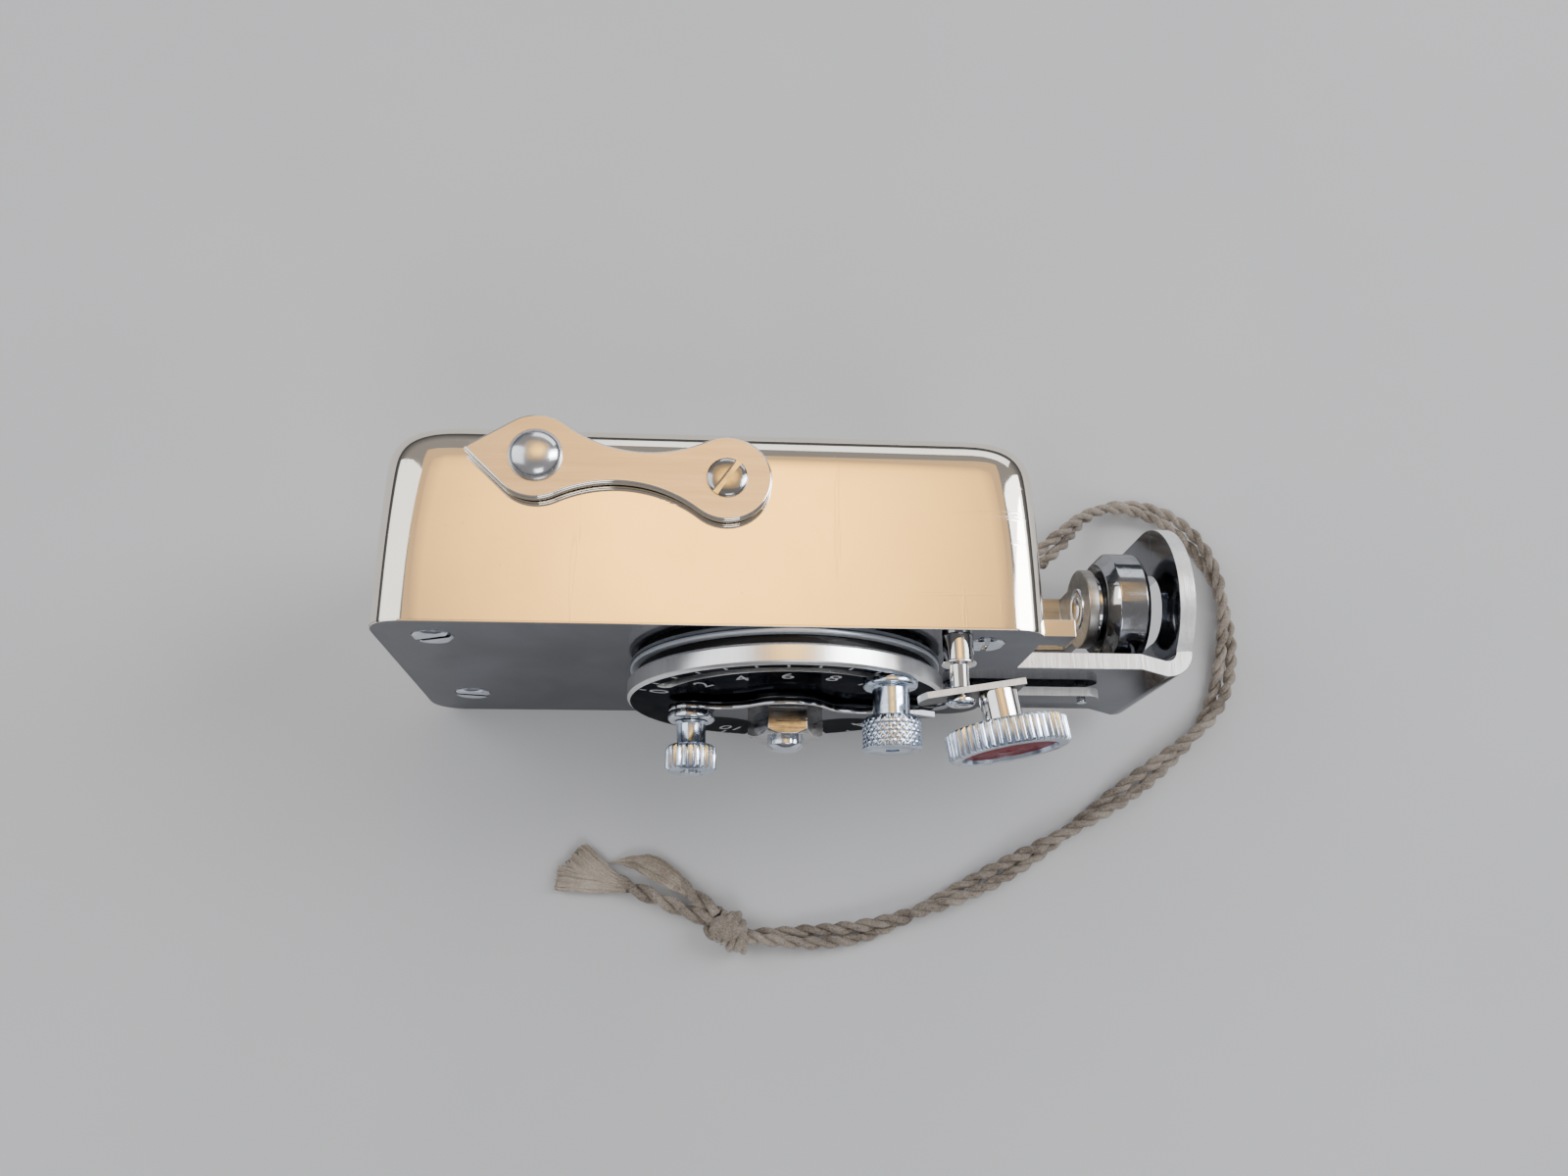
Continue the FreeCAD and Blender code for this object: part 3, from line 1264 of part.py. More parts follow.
def train_group():
    """Second arbor and fly arbor of the running train."""
    second_x, second_z = second_centre()
    fly_x, fly_z = fly_centre()
    start = plate_thick - pivot_sink + seat_play
    end = movement_plate_at + movement_plate_thick * PIVOT_SHARE
    shoulder_front = plate_thick + end_play
    shoulder_rear = movement_plate_at - end_play
    for name, x, z in (("second_arbor", second_x, second_z), ("fly_arbor", fly_x, fly_z)):
        arbor = turned_body(name + "_part", [
            (0, -end), (pivot_radius, -end), (pivot_radius, -shoulder_rear),
            (train_arbor_radius, -shoulder_rear), (train_arbor_radius, -shoulder_front),
            (pivot_radius, -shoulder_front), (pivot_radius, -start), (0, -start)])
        keep(place(arbor, x, front_y, z, TO_FRONT), name)

    bore = train_arbor_radius + screw_play
    pinion_thick = wheel_thick + pinion_play * 1.5
    back = float(second_angle) + 180 + 180 / SMALL_TEETH
    pinion = gear("second_pinion_part", SMALL_TEETH, wheel_module, pinion_thick, bore, back)
    pinion_at = great_wheel_at - end_play
    keep(place(pinion, second_x, front_y + pinion_at + pinion_thick, second_z, TO_FRONT), "second_pinion")
    wheel = gear(
        "second_wheel_part", SECOND_TEETH, wheel_module, second_wheel_thick, bore, float(fly_angle), 4)
    wheel_end = second_wheel_at + second_wheel_thick
    keep(place(wheel, second_x, front_y + wheel_end, second_z, TO_FRONT), "second_wheel")
    leaf = gear(
        "fly_pinion_part", SMALL_TEETH, wheel_module, wheel_thick, bore,
        float(fly_angle) + 180 + 180 / SMALL_TEETH)
    leaf_at = second_wheel_at - seat_play * 2
    keep(place(leaf, fly_x, front_y + leaf_at + wheel_thick, fly_z, TO_FRONT), "fly_pinion")

    hub = cylinder("vane_hub", train_arbor_radius + fly_hub_wall, fly_length, 0, 0, 0)
    blade = box("vane_blade", fly_radius * 2, fly_blade, fly_length, -fly_radius, -fly_blade / 2, 0)
    solid = fuse("vane_solid", [hub, blade])
    hole = cylinder("vane_hole", bore, fly_length * 3, 0, 0, -fly_length)
    vane = cut("vane_part", solid, [hole])
    keep(place(vane, fly_x, front_y + fly_at + fly_length, fly_z, TO_FRONT.multiply(
        FreeCAD.Rotation(Vector(0, 0, 1), float(vane_angle)))), "fly_vane")


def mainspring():
    """Flat spiral spring of half circles, each with its centre shifted by a quarter pitch."""
    strip = float(spring_strip)
    pitch = float(spring_pitch)
    inner_edges = []
    outer_edges = []
    radius = float(spring_inner)
    for k in range(SPRING_HALF_TURNS):
        centre = Vector(pitch / 4 * (1 if k % 2 else -1), 0, 0)
        start, end = (0, 180) if k % 2 == 0 else (180, 360)
        inner_edges.append(arc_about(centre, radius, start, end))
        outer_edges.append(arc_about(centre, radius + strip, start, end))
        radius += pitch / 2
    first = inner_edges[0].StartPoint
    last = inner_edges[-1].EndPoint
    closed = [edge.toShape() for edge in inner_edges]
    closed.append(Part.LineSegment(last, outer_edges[-1].EndPoint).toShape())
    closed += [edge.toShape() for edge in reversed(outer_edges)]
    closed.append(Part.LineSegment(outer_edges[0].StartPoint, first).toShape())
    wire = Part.Wire(Part.__sortEdges__(closed))
    strip_solid = Part.Face(wire).extrude(Vector(0, 0, float(spring_width)))
    spring = feature("mainspring_part", strip_solid)
    keep(place(spring, dial_x, front_y + spring_at + spring_width, dial_z, TO_FRONT), "mainspring")
    print("mainspring: gap between turns %.2f mm, outer radius %.2f mm" % (pitch - strip, radius + strip))
    end = (last + outer_edges[-1].EndPoint) * 0.5
    post_reach = end.x + strip / 2 + float(spring_post + screw_play)
    post_end = spring_at + spring_width + edge_break * 1.5
    post = cylinder(
        "spring_post_part", spring_post, post_end - plate_thick, dial_x + post_reach, front_y + post_end,
        dial_z, TO_FRONT)
    keep(post, "spring_post")


def selector_group():
    """Dog-bone lever on the top of the case, on a slotted screw, with a cam under the top."""
    lobe = float(selector_lobe)
    waist = float(selector_waist)
    span = float(selector_span)
    radius = (span ** 2 / 4 + waist ** 2 - lobe ** 2) / (2 * (lobe - waist))
    rise = waist + radius
    lean = math.degrees(math.atan2(rise, span / 2))
    left = Vector(0, 0, 0)
    right = Vector(span, 0, 0)
    tip = Vector(span + float(selector_tip), 0, 0)
    taper = math.degrees(math.acos(lobe / float(selector_tip)))
    outline = [
        arc_about(left, lobe, lean, 360 - lean),
        arc_about(Vector(span / 2, -rise, 0), radius, lean, 180 - lean),
        arc_about(right, lobe, 180 + lean, 360 - taper),
        line(on_circle(right, lobe, -taper), tip),
        line(tip, on_circle(right, lobe, taper)),
        arc_about(right, lobe, taper, 180 - lean),
        arc_about(Vector(span / 2, rise, 0), radius, 180 + lean, 360 - lean),
    ]
    turn = FreeCAD.Rotation(Vector(0, 0, 1), float(selector_angle))
    y = front_y + selector_depth
    z = case_height + selector_gap
    lever = plate_body("selector_lever_part", selector_thick, outline, [
        (0, 0, selector_shaft + screw_play), (selector_span, 0, selector_pin)])
    keep(place(lever, selector_x, y, z, turn), "selector_lever")

    screw = turned_body("selector_screw_turned", [
        (0, -selector_reach), (selector_pin, -selector_reach), (selector_pin, -shell_wall - cam_gap),
        (selector_shaft, -shell_wall - cam_gap), (selector_shaft, selector_gap + selector_thick),
        (selector_head, selector_gap + selector_thick),
        (selector_head, selector_gap + selector_thick + selector_head_rise * 0.6),
        (selector_head * 0.8, selector_gap + selector_thick + selector_head_rise),
        (0, selector_gap + selector_thick + selector_head_rise)])
    slot = box(
        "selector_slot", selector_head * 3, selector_head * SLOT_SHARE, selector_head_rise * 2,
        -selector_head * 1.5, -selector_head * SLOT_SHARE / 2,
        selector_gap + selector_thick + selector_head_rise * 0.4)
    keep(place(cut("selector_screw_part", screw, [slot]), selector_x, y, case_height,
               FreeCAD.Rotation(Vector(0, 0, 1), float(selector_slot_angle))), "selector_screw")

    washer = turned_body("selector_washer_part", [
        (selector_shaft + pivot_play, 0), (selector_lobe * 0.8, 0),
        (selector_lobe * 0.8, selector_gap - screw_play),
        (selector_shaft + pivot_play, selector_gap - screw_play)])
    keep(place(washer, selector_x, y, case_height), "selector_washer")

    dome = turned_body("dome_foot", [
        (0, -selector_thick), (selector_pin - screw_play, -selector_thick),
        (selector_pin - screw_play, 0), (0, 0)])
    ball_radius = (float(dome_radius) ** 2 + float(dome_rise) ** 2) / (2 * float(dome_rise))
    ball = Part.makeSphere(ball_radius, Vector(0, 0, float(dome_rise) - ball_radius))
    cap = ball.common(Part.makeCylinder(ball_radius * 2, ball_radius * 2))
    dome_cap = feature("dome_cap", cap)
    far = math.radians(float(selector_angle))
    keep(place(fuse("dome_part", [dome, dome_cap]), selector_x + selector_span * math.cos(far),
               y + selector_span * math.sin(far), z + selector_thick), "selector_dome")

    reach = float(cam_reach)
    round_part = float(cam_round)
    nose = round_part / 2
    cam_outline = [
        arc_about(left, round_part, CAM_SPREAD, 360 - CAM_SPREAD),
        line(on_circle(left, round_part, -CAM_SPREAD), Vector(reach, -nose, 0)),
        line(Vector(reach, -nose, 0), Vector(reach, nose, 0)),
        line(Vector(reach, nose, 0), on_circle(left, round_part, CAM_SPREAD)),
    ]
    cam = plate_body("selector_cam_part", cam_thick, cam_outline, [(0, 0, selector_pin + screw_play)])
    keep(place(cam, selector_x, y, case_height - shell_wall - cam_gap - cam_thick, turn), "selector_cam")


def rounded_path(points, radii=None):
    """Straight runs joined by tangent arcs. Returns the wire and the radius at each corner."""
    used = []
    edges = []
    start = points[0]
    for k in range(1, len(points) - 1):
        before = points[k] - points[k - 1]
        after = points[k + 1] - points[k]
        turn = before.getAngle(after)
        shorter = min(before.Length, after.Length)
        radius = BEND_SHARE * shorter / math.tan(turn / 2)
        if radii and radii.get(k):
            radius = radii[k]
        used.append(radius)
        trim = radius * math.tan(turn / 2)
        arc_start = points[k] - before.normalize() * trim
        arc_end = points[k] + after.normalize() * trim
        inward = (points[k - 1] - points[k]).normalize() + (points[k + 1] - points[k]).normalize()
        reach = radius / math.cos(turn / 2) - radius
        middle = points[k] + inward.normalize() * reach
        if (arc_start - start).Length > 1e-6:
            edges.append(Part.LineSegment(start, arc_start).toShape())
        edges.append(Part.Arc(arc_start, middle, arc_end).toShape())
        start = arc_end
    edges.append(Part.LineSegment(start, points[-1]).toShape())
    return Part.Wire(edges), used


def tube(name, points, diameter, radii=None):
    wire, used = rounded_path(points, radii)
    first = wire.Edges[0]
    direction = first.tangentAt(first.FirstParameter)
    ring = Part.Wire(Part.Circle(points[0], direction, float(diameter) / 2).toShape())
    solid = wire.makePipeShell([ring], True, False)
    section = math.pi * float(diameter) ** 2 / 4
    print("%s: length %.1f mm, volume ratio %.4f, radii %s" % (
        name, wire.Length, solid.Volume / (section * wire.Length), ["%.1f" % radius for radius in used]))
    return solid


BEND_SHARE = 0.45

# Route of the doubled string, as (x, depth behind the front plate, z).
CORD_ROUTE = [
    (32.45, 14.66, 4.8), (35.0, 16.80, 4.8), (38.9, 20.9, 2.2), (43.7, 22.3, 1.1), (48.9, 20.4, 1.1),
    (52.6, 14.6, 1.1), (52.8, 7.0, 1.1), (50.6, 0.1, 1.1), (45.2, -4.6, 1.1), (37.6, -9.8, 1.1),
    (29.4, -14.7, 1.1), (20.6, -18.8, 1.1), (12.0, -21.7, 1.1), (4.3, -21.4, 1.1),
]
KNOT_AT = (2.1, -20.6, 1.9)
KNOT_TURNS = 2.25
LONG_TAIL = [(0.2, -19.9, 1.3), (-3.0, -18.6, 0.9), (-6.2, -17.6, 0.9), (-9.4, -15.9, 1.2)]
SHORT_TAIL = [(1.2, -18.7, 1.3), (-0.6, -17.0, 0.9), (-2.4, -16.3, 0.9), (-4.0, -15.3, 1.2)]


def from_front(route):
    return [Vector(x, float(front_y) + depth, z) for x, depth, z in route]


def cord_group():
    ring_x = case_width / 2 + ring_stand
    y = front_y + ring_depth
    ring = doc.addObject("Part::Torus", "eyelet_ring")
    bind(ring, "Radius1", ring_radius)
    bind(ring, "Radius2", ring_wire)
    place(ring, ring_x, y, ring_height, TO_FRONT)
    inside = shell_wall + eyelet_clinch
    shank = cylinder(
        "eyelet_shank", ring_wire, ring_stand - ring_radius + inside, case_width / 2 - inside, y, ring_height,
        TO_RIGHT)
    base = cylinder("eyelet_base", ring_radius * 0.75, eyelet_base, case_width / 2, y, ring_height, TO_RIGHT)
    clinch = cylinder(
        "eyelet_clinched", ring_radius * 0.6, eyelet_clinch - seat_play, case_width / 2 - inside, y,
        ring_height, TO_RIGHT)
    keep(fuse("eyelet_part", [ring, shank, base, clinch]), "cord_eyelet")

    # The bight goes round the ring's wire and brings both strings together.
    heading = math.radians(float(bight_heading))
    ahead = Vector(math.cos(heading), math.sin(heading), 0)
    side = Vector(-ahead.y, ahead.x, 0)
    centre = Vector(float(ring_x + ring_radius), float(y), float(ring_height))
    half = float(ring_wire + seat_play) + float(string_diameter) / 2
    near = float(string_diameter) / 2 + float(string_play)
    reach = float(bight_reach)
    path = [
        centre + ahead * reach + side * near, centre + ahead * reach * 0.75 + side * near,
        centre + ahead * half + side * half, centre - ahead * half + side * half,
        centre - ahead * half - side * half, centre + ahead * half - side * half,
        centre + ahead * reach * 0.75 - side * near, centre + ahead * reach - side * near]
    bend = half * 0.995
    bight = tube("cord_bight", path, string_diameter, {3: bend, 4: bend})
    keep(feature("bight_part", bight), "cord_bight")

    pair = tube("cord_pair", from_front(CORD_ROUTE), cord_diameter)
    keep(feature("pair_part", pair), "cord_pair")

    # Overhand knot: the turns of a helix round a core that lies along the last run of the pair.
    points = from_front(CORD_ROUTE)
    along = (points[-1] - points[-2]).normalize()
    pitch = float(knot_pitch)
    radius = float(knot_radius)
    length = pitch * KNOT_TURNS
    helix = Part.makeHelix(pitch, length, radius)
    heading = Vector(0, 1, pitch / (2 * math.pi * radius))
    strand = Part.Circle(Vector(radius, 0, 0), heading, float(knot_strand) / 2)
    turns = Part.Wire(helix.Edges).makePipeShell([Part.Wire(strand.toShape())], True, True)
    spare = float(knot_core_spare)
    core = Part.makeCylinder(radius, length + spare * 2, Vector(0, 0, -spare))
    core = core.makeFillet(float(knot_core_round), core.Edges[0:1] + core.Edges[2:3])
    knot = feature("knot_part", core.fuse(turns))
    knot.Placement = FreeCAD.Placement(
        from_front([KNOT_AT])[0] - along * length / 2, FreeCAD.Rotation(Vector(0, 0, 1), along))
    keep(knot, "cord_knot")

    for name, route in (("cord_tail_long", LONG_TAIL), ("cord_tail_short", SHORT_TAIL)):
        points = from_front(route)
        strand = tube(name, points, string_diameter)
        ahead = (points[-1] - points[-2]).normalize()
        brush = Part.makeCone(
            float(string_diameter) / 2, float(brush_radius), float(brush_length),
            points[-1] - ahead * float(brush_seat), ahead)
        keep(feature(name + "_part", strand.fuse(brush).removeSplitter()), name)


case_shell()
front_plate()
movement_frame()
dial_stack()
winding_group()
winding_peg()
time_stop()
start_group()
catch_group()
pusher_group()
train_group()
mainspring()
selector_group()
cord_group()

doc.recompute()

for obj in doc.Objects:
    if "Invalid" in obj.State or "Error" in obj.State:
        raise RuntimeError("%s did not compute: %s" % (obj.Name, obj.State))
for obj in subparts:
    if obj.Shape.isNull() or not obj.Shape.isValid():
        raise RuntimeError("%s has no valid shape" % obj.Label)

os.makedirs("parts", exist_ok=True)
for obj in subparts:
    obj.Shape.exportStep("parts/%s.step" % obj.Label)
print("%d sub-parts written" % len(subparts))
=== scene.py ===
"""Looks for a nickelled clockwork self-timer: polished case, knurled knobs, dark dial and twisted cord."""

import json
import math
import random

import bmesh
import bpy
from mathutils import Matrix, Vector


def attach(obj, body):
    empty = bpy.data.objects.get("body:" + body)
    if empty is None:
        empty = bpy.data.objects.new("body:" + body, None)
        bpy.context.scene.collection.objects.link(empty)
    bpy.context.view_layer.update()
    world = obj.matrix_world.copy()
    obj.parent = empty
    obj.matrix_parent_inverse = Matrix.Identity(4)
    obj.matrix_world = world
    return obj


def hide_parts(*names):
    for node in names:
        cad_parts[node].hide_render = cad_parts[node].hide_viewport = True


# Shapes are given in millimetres and degrees, and lights in metres.
MM = 0.001
FULL_TURN = 2 * math.pi

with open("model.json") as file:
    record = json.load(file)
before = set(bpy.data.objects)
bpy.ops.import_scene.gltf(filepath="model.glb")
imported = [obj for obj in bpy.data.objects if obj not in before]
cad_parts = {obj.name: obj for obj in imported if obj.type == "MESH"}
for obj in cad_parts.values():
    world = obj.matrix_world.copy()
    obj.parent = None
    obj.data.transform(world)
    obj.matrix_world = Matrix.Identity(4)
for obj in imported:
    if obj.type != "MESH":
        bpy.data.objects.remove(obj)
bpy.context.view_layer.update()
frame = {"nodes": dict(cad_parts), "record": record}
nodes = frame["nodes"]


def link(thing):
    bpy.context.scene.collection.objects.link(thing)


# Camera: the photograph's place and direction, solved from the case's edges.

CAMERA_PLACE = Vector((-1.55, -34.76, 117.66)) * MM
CAMERA_TURN = math.radians(13.05)
CAMERA_DOWN = math.radians(71.14)
CAMERA_ROLL = math.radians(13.39)
LENS = 28.17
SENSOR = 36.0


def add_camera():
    ahead = Vector((
        math.sin(CAMERA_TURN) * math.cos(CAMERA_DOWN),
        math.cos(CAMERA_TURN) * math.cos(CAMERA_DOWN),
        -math.sin(CAMERA_DOWN)))
    level = Vector((math.cos(CAMERA_TURN), -math.sin(CAMERA_TURN), 0))
    upright = level.cross(ahead)
    right = level * math.cos(CAMERA_ROLL) + upright * math.sin(CAMERA_ROLL)
    up = upright * math.cos(CAMERA_ROLL) - level * math.sin(CAMERA_ROLL)
    data = bpy.data.cameras.new("photo_camera")
    data.lens = LENS
    data.sensor_width = SENSOR
    data.clip_start = 5 * MM
    camera = bpy.data.objects.new("photo_camera", data)
    turn = Matrix((right, up, -ahead)).transposed().to_4x4()
    camera.matrix_world = Matrix.Translation(CAMERA_PLACE) @ turn
    link(camera)
    bpy.context.scene.camera = camera


add_camera()


# Shader building blocks

MIX_FIRST, MIX_SECOND, MIX_RESULT = 6, 7, 2  # the colour sockets of a Mix node
DUST_COLOUR = (0.75, 0.74, 0.72)
HAIRLINE_DEPTH = 0.002
LACQUER_SCRATCH_DEPTH = 0.004
FIBRE_RELIEF = 0.05


def new_group(name, inputs, outputs):
    """A shader node group whose outputs are plain values. Returns the group, its source and its sink."""
    group = bpy.data.node_groups.new(name, "ShaderNodeTree")
    for label, default in inputs.items():
        kind = "NodeSocketVector" if isinstance(default, tuple) else "NodeSocketFloat"
        socket = group.interface.new_socket(name=label, in_out="INPUT", socket_type=kind)
        socket.default_value = default
    for label in outputs:
        group.interface.new_socket(name=label, in_out="OUTPUT", socket_type="NodeSocketFloat")
    return group, group.nodes.new("NodeGroupInput").outputs, group.nodes.new("NodeGroupOutput")


def add_node(tree, kind, values=None, **settings):
    node = tree.nodes.new(kind)
    for key, value in settings.items():
        setattr(node, key, value)
    for key, value in (values or {}).items():
        node.inputs[key].default_value = value
    return node


def feed(source, node, socket):
    """Link a node's output to another node's input."""
    node.id_data.links.new(source, node.inputs[socket])


def ramp(tree, stops, source):
    """A colour ramp fed by an output. The stops are (place, grey)."""
    node = add_node(tree, "ShaderNodeValToRGB")
    elements = node.color_ramp.elements
    while len(elements) < len(stops):
        elements.new(0.5)
    for element, (place, grey) in zip(elements, stops):
        element.position = place
        element.color = (grey, grey, grey, 1)
    feed(source, node, "Fac")
    return node.outputs["Color"]


def math_node(tree, operation, first, second):
    node = add_node(tree, "ShaderNodeMath", operation=operation)
    for index, value in enumerate((first, second)):
        if isinstance(value, (int, float)):
            node.inputs[index].default_value = value
        else:
            feed(value, node, index)
    return node.outputs[0]


def object_place(tree):
    return add_node(tree, "ShaderNodeTexCoord").outputs["Object"]


def noise(tree, place, **values):
    node = add_node(tree, "ShaderNodeTexNoise", values)
    feed(place, node, "Vector")
    return node


def handling_marks_group():
    """Hairline scratches in two directions, and soft smudges from fingers."""
    group, source, sink = new_group(
        "handling_marks",
        {"Scratch Scale": 900.0, "Smudge Scale": 120.0, "Clean Roughness": 0.06, "Smudged Roughness": 0.2},
        ("Roughness", "Height", "Smudge"))
    place = object_place(group)
    hairlines = []
    for turn, stretch in (((0.3, 0.5, 0.9), (0.05, 1.0, 0.7)), ((1.1, 0.2, -0.6), (1.0, 0.06, 0.9))):
        mapping = add_node(group, "ShaderNodeMapping", {"Rotation": turn, "Scale": stretch})
        feed(place, mapping, "Vector")
        lines = noise(group, mapping.outputs["Vector"], Detail=3.0, Roughness=0.6)
        feed(source["Scratch Scale"], lines, "Scale")
        stops = [(0.0, 0.0), (0.66, 0.0), (0.7, 1.0), (0.74, 0.0)]
        hairlines.append(ramp(group, stops, lines.outputs["Fac"]))
    scratches = math_node(group, "MAXIMUM", *hairlines)
    clouds = noise(group, place, Detail=5.0, Roughness=0.55, Distortion=0.6)
    feed(source["Smudge Scale"], clouds, "Scale")
    smudge = ramp(group, [(0.42, 0.0), (0.68, 1.0)], clouds.outputs["Fac"])
    mix = add_node(group, "ShaderNodeMapRange")
    feed(smudge, mix, "Value")
    feed(source["Clean Roughness"], mix, "To Min")
    feed(source["Smudged Roughness"], mix, "To Max")
    worn = math_node(group, "MULTIPLY", scratches, 0.12)
    feed(math_node(group, "ADD", mix.outputs["Result"], worn), sink, "Roughness")
    feed(scratches, sink, "Height")
    feed(smudge, sink, "Smudge")
    return group


def grain_group():
    """Fine lines of a brushed, turned or sheared surface. Stretch is small along the lines."""
    group, source, sink = new_group(
        "metal_grain", {"Stretch": (1.0, 1.0, 0.04), "Scale": 1500.0}, ("Height", "Shade"))
    scaled = add_node(group, "ShaderNodeVectorMath", operation="MULTIPLY")
    feed(object_place(group), scaled, 0)
    feed(source["Stretch"], scaled, 1)
    lines = noise(group, scaled.outputs["Vector"], Detail=4.0, Roughness=0.7)
    feed(source["Scale"], lines, "Scale")
    feed(lines.outputs["Fac"], sink, "Height")
    feed(ramp(group, [(0.3, 0.0), (0.7, 1.0)], lines.outputs["Fac"]), sink, "Shade")
    return group


def dust_group():
    """Patches of small specks, settled on faces that look upwards."""
    group, source, sink = new_group("settled_dust", {"Speck Scale": 700.0, "Amount": 0.3}, ("Mask",))
    place = object_place(group)
    cells = add_node(group, "ShaderNodeTexVoronoi", feature="F1")
    feed(place, cells, "Vector")
    feed(source["Speck Scale"], cells, "Scale")
    specks = ramp(group, [(0.0, 1.0), (0.07, 1.0), (0.11, 0.0)], cells.outputs["Distance"])
    patches = noise(group, place, Scale=260.0, Detail=2.0)
    dusty = ramp(group, [(0.52, 0.0), (0.66, 1.0)], patches.outputs["Fac"])
    split = add_node(group, "ShaderNodeSeparateXYZ")
    feed(add_node(group, "ShaderNodeNewGeometry").outputs["Normal"], split, "Vector")
    mask = math_node(group, "MULTIPLY", specks, dusty)
    mask = math_node(group, "MULTIPLY", mask, ramp(group, [(0.3, 0.0), (0.9, 1.0)], split.outputs["Z"]))
    feed(math_node(group, "MULTIPLY", mask, source["Amount"]), sink, "Mask")
    return group


HANDLING = handling_marks_group()
GRAIN = grain_group()
DUST = dust_group()


def group_node(tree, group, values):
    return add_node(tree, "ShaderNodeGroup", values, node_tree=group)


def new_material(name, **sockets):
    """A material whose even values are on the Principled shader's own sockets."""
    material = bpy.data.materials.new(name)
    material.use_nodes = True
    tree = material.node_tree
    shader = tree.nodes["Principled BSDF"]
    for key, value in sockets.items():
        shader.inputs[key.replace("_", " ")].default_value = value
    return material, tree, shader


def tint(tree, factor, first, second):
    """Blend two colours by a factor. The first may be another node's output too."""
    mix = add_node(tree, "ShaderNodeMix", {MIX_SECOND: (*second, 1)}, data_type="RGBA")
    feed(factor, mix, "Factor")
    if isinstance(first, tuple):
        mix.inputs[MIX_FIRST].default_value = (*first, 1)
    else:
        feed(first, mix, MIX_FIRST)
    return mix.outputs[MIX_RESULT]


def bump(tree, shader, height, distance):
    node = add_node(tree, "ShaderNodeBump", {"Strength": 1.0, "Distance": distance * MM})
    feed(height, node, "Height")
    feed(node.outputs["Normal"], shader, "Normal")


def polished_metal(name, colour, worn, clean, smudged, smudges=120.0, dust=0.25, edge=1.0):
    """Mirror metal with hairlines, smudges and some dust. A low edge value darkens slanting views."""
    material, tree, shader = new_material(name, Specular_Tint=(edge, edge, edge, 1))
    marks = group_node(tree, HANDLING, {
        "Smudge Scale": smudges, "Clean Roughness": clean, "Smudged Roughness": smudged}).outputs
    specks = group_node(tree, DUST, {"Amount": dust}).outputs["Mask"]
    metal = tint(tree, marks["Smudge"], colour, worn)
    feed(tint(tree, specks, metal, DUST_COLOUR), shader, "Base Color")
    feed(marks["Roughness"], shader, "Roughness")
    feed(math_node(tree, "SUBTRACT", 1.0, specks), shader, "Metallic")
    bump(tree, shader, marks["Height"], HAIRLINE_DEPTH)
    return material


def grained_metal(name, dark, light, stretch, scale, roughness, depth, metallic=1.0):
    """Brushed, turned or sheared metal. A torn face scatters light, so it is less of a mirror."""
    material, tree, shader = new_material(name, Metallic=metallic, Roughness=roughness)
    grain = group_node(tree, GRAIN, {"Stretch": stretch, "Scale": scale}).outputs
    feed(tint(tree, grain["Shade"], dark, light), shader, "Base Color")
    bump(tree, shader, grain["Height"], depth)
    return material


def lacquer(name, colour, worn, roughness, coat=0.3, gloss=0.4):
    """Hard paint with fine scratches that show a lighter ground."""
    material, tree, shader = new_material(
        name, Coat_Weight=coat, Coat_Roughness=0.1, Specular_IOR_Level=gloss)
    marks = group_node(tree, HANDLING, {
        "Scratch Scale": 1100.0, "Smudge Scale": 200.0, "Clean Roughness": roughness,
        "Smudged Roughness": roughness + 0.15}).outputs
    feed(tint(tree, marks["Height"], colour, worn), shader, "Base Color")
    feed(marks["Roughness"], shader, "Roughness")
    bump(tree, shader, marks["Height"], -LACQUER_SCRATCH_DEPTH)
    return material


def yarn(name, dark, light):
    """Greyed twisted cotton: fibres along the ply, and slow changes of shade."""
    material, tree, shader = new_material(name, Roughness=0.92, Sheen_Weight=0.35, Sheen_Roughness=0.5)
    place = object_place(tree)
    fibres = noise(tree, place, Scale=5200.0, Detail=4.0, Roughness=0.75).outputs["Fac"]
    patches = noise(tree, place, Scale=330.0, Detail=3.0).outputs["Fac"]
    blend = math_node(
        tree, "ADD", math_node(tree, "MULTIPLY", fibres, 0.6), math_node(tree, "MULTIPLY", patches, 0.5))
    shade = ramp(tree, [(0.4, 0.0), (0.72, 1.0)], blend)
    feed(tint(tree, shade, dark, light), shader, "Base Color")
    bump(tree, shader, fibres, FIBRE_RELIEF)
    return material


# Finishes

case_nickel = polished_metal(
    "case_nickel", (0.92, 0.85, 0.74), (0.87, 0.79, 0.68), clean=0.03, smudged=0.09)
# The plate's nickel is painted dark and a little blue. This is a painted dark reflection, not the metal's
# own colour, and its low edge value darkens slanting views as well.
plate_nickel_painted_dark_reflection = polished_metal(
    "plate_nickel_painted_dark_reflection", (0.34, 0.35, 0.38), (0.28, 0.29, 0.31), clean=0.05, smudged=0.14, edge=0.55)
bright_nickel = polished_metal(
    "bright_nickel", (0.74, 0.78, 0.86), (0.60, 0.63, 0.68), clean=0.09, smudged=0.22, smudges=600.0)
knurled_nickel = polished_metal(
    "knurled_nickel", (0.66, 0.75, 0.90), (0.47, 0.52, 0.60), clean=0.12, smudged=0.3, smudges=900.0,
    dust=0.4)
screw_nickel = polished_metal(
    "screw_nickel", (0.50, 0.49, 0.48), (0.36, 0.35, 0.34), clean=0.08, smudged=0.2, smudges=700.0)
mirror_nickel = polished_metal(
    "mirror_nickel", (0.86, 0.84, 0.82), (0.78, 0.76, 0.73), clean=0.04, smudged=0.12, smudges=500.0,
    dust=0.15)
dome_nickel = polished_metal(
    "dome_nickel", (0.78, 0.80, 0.84), (0.62, 0.63, 0.66), clean=0.13, smudged=0.24, smudges=420.0)
# The cup's nickel is painted dark. This is a painted dark reflection, not the metal's own colour.
painted_dark_cup = polished_metal(
    "painted_dark_cup", (0.40, 0.41, 0.44), (0.30, 0.31, 0.33), clean=0.06, smudged=0.18, smudges=500.0,
    edge=0.7)
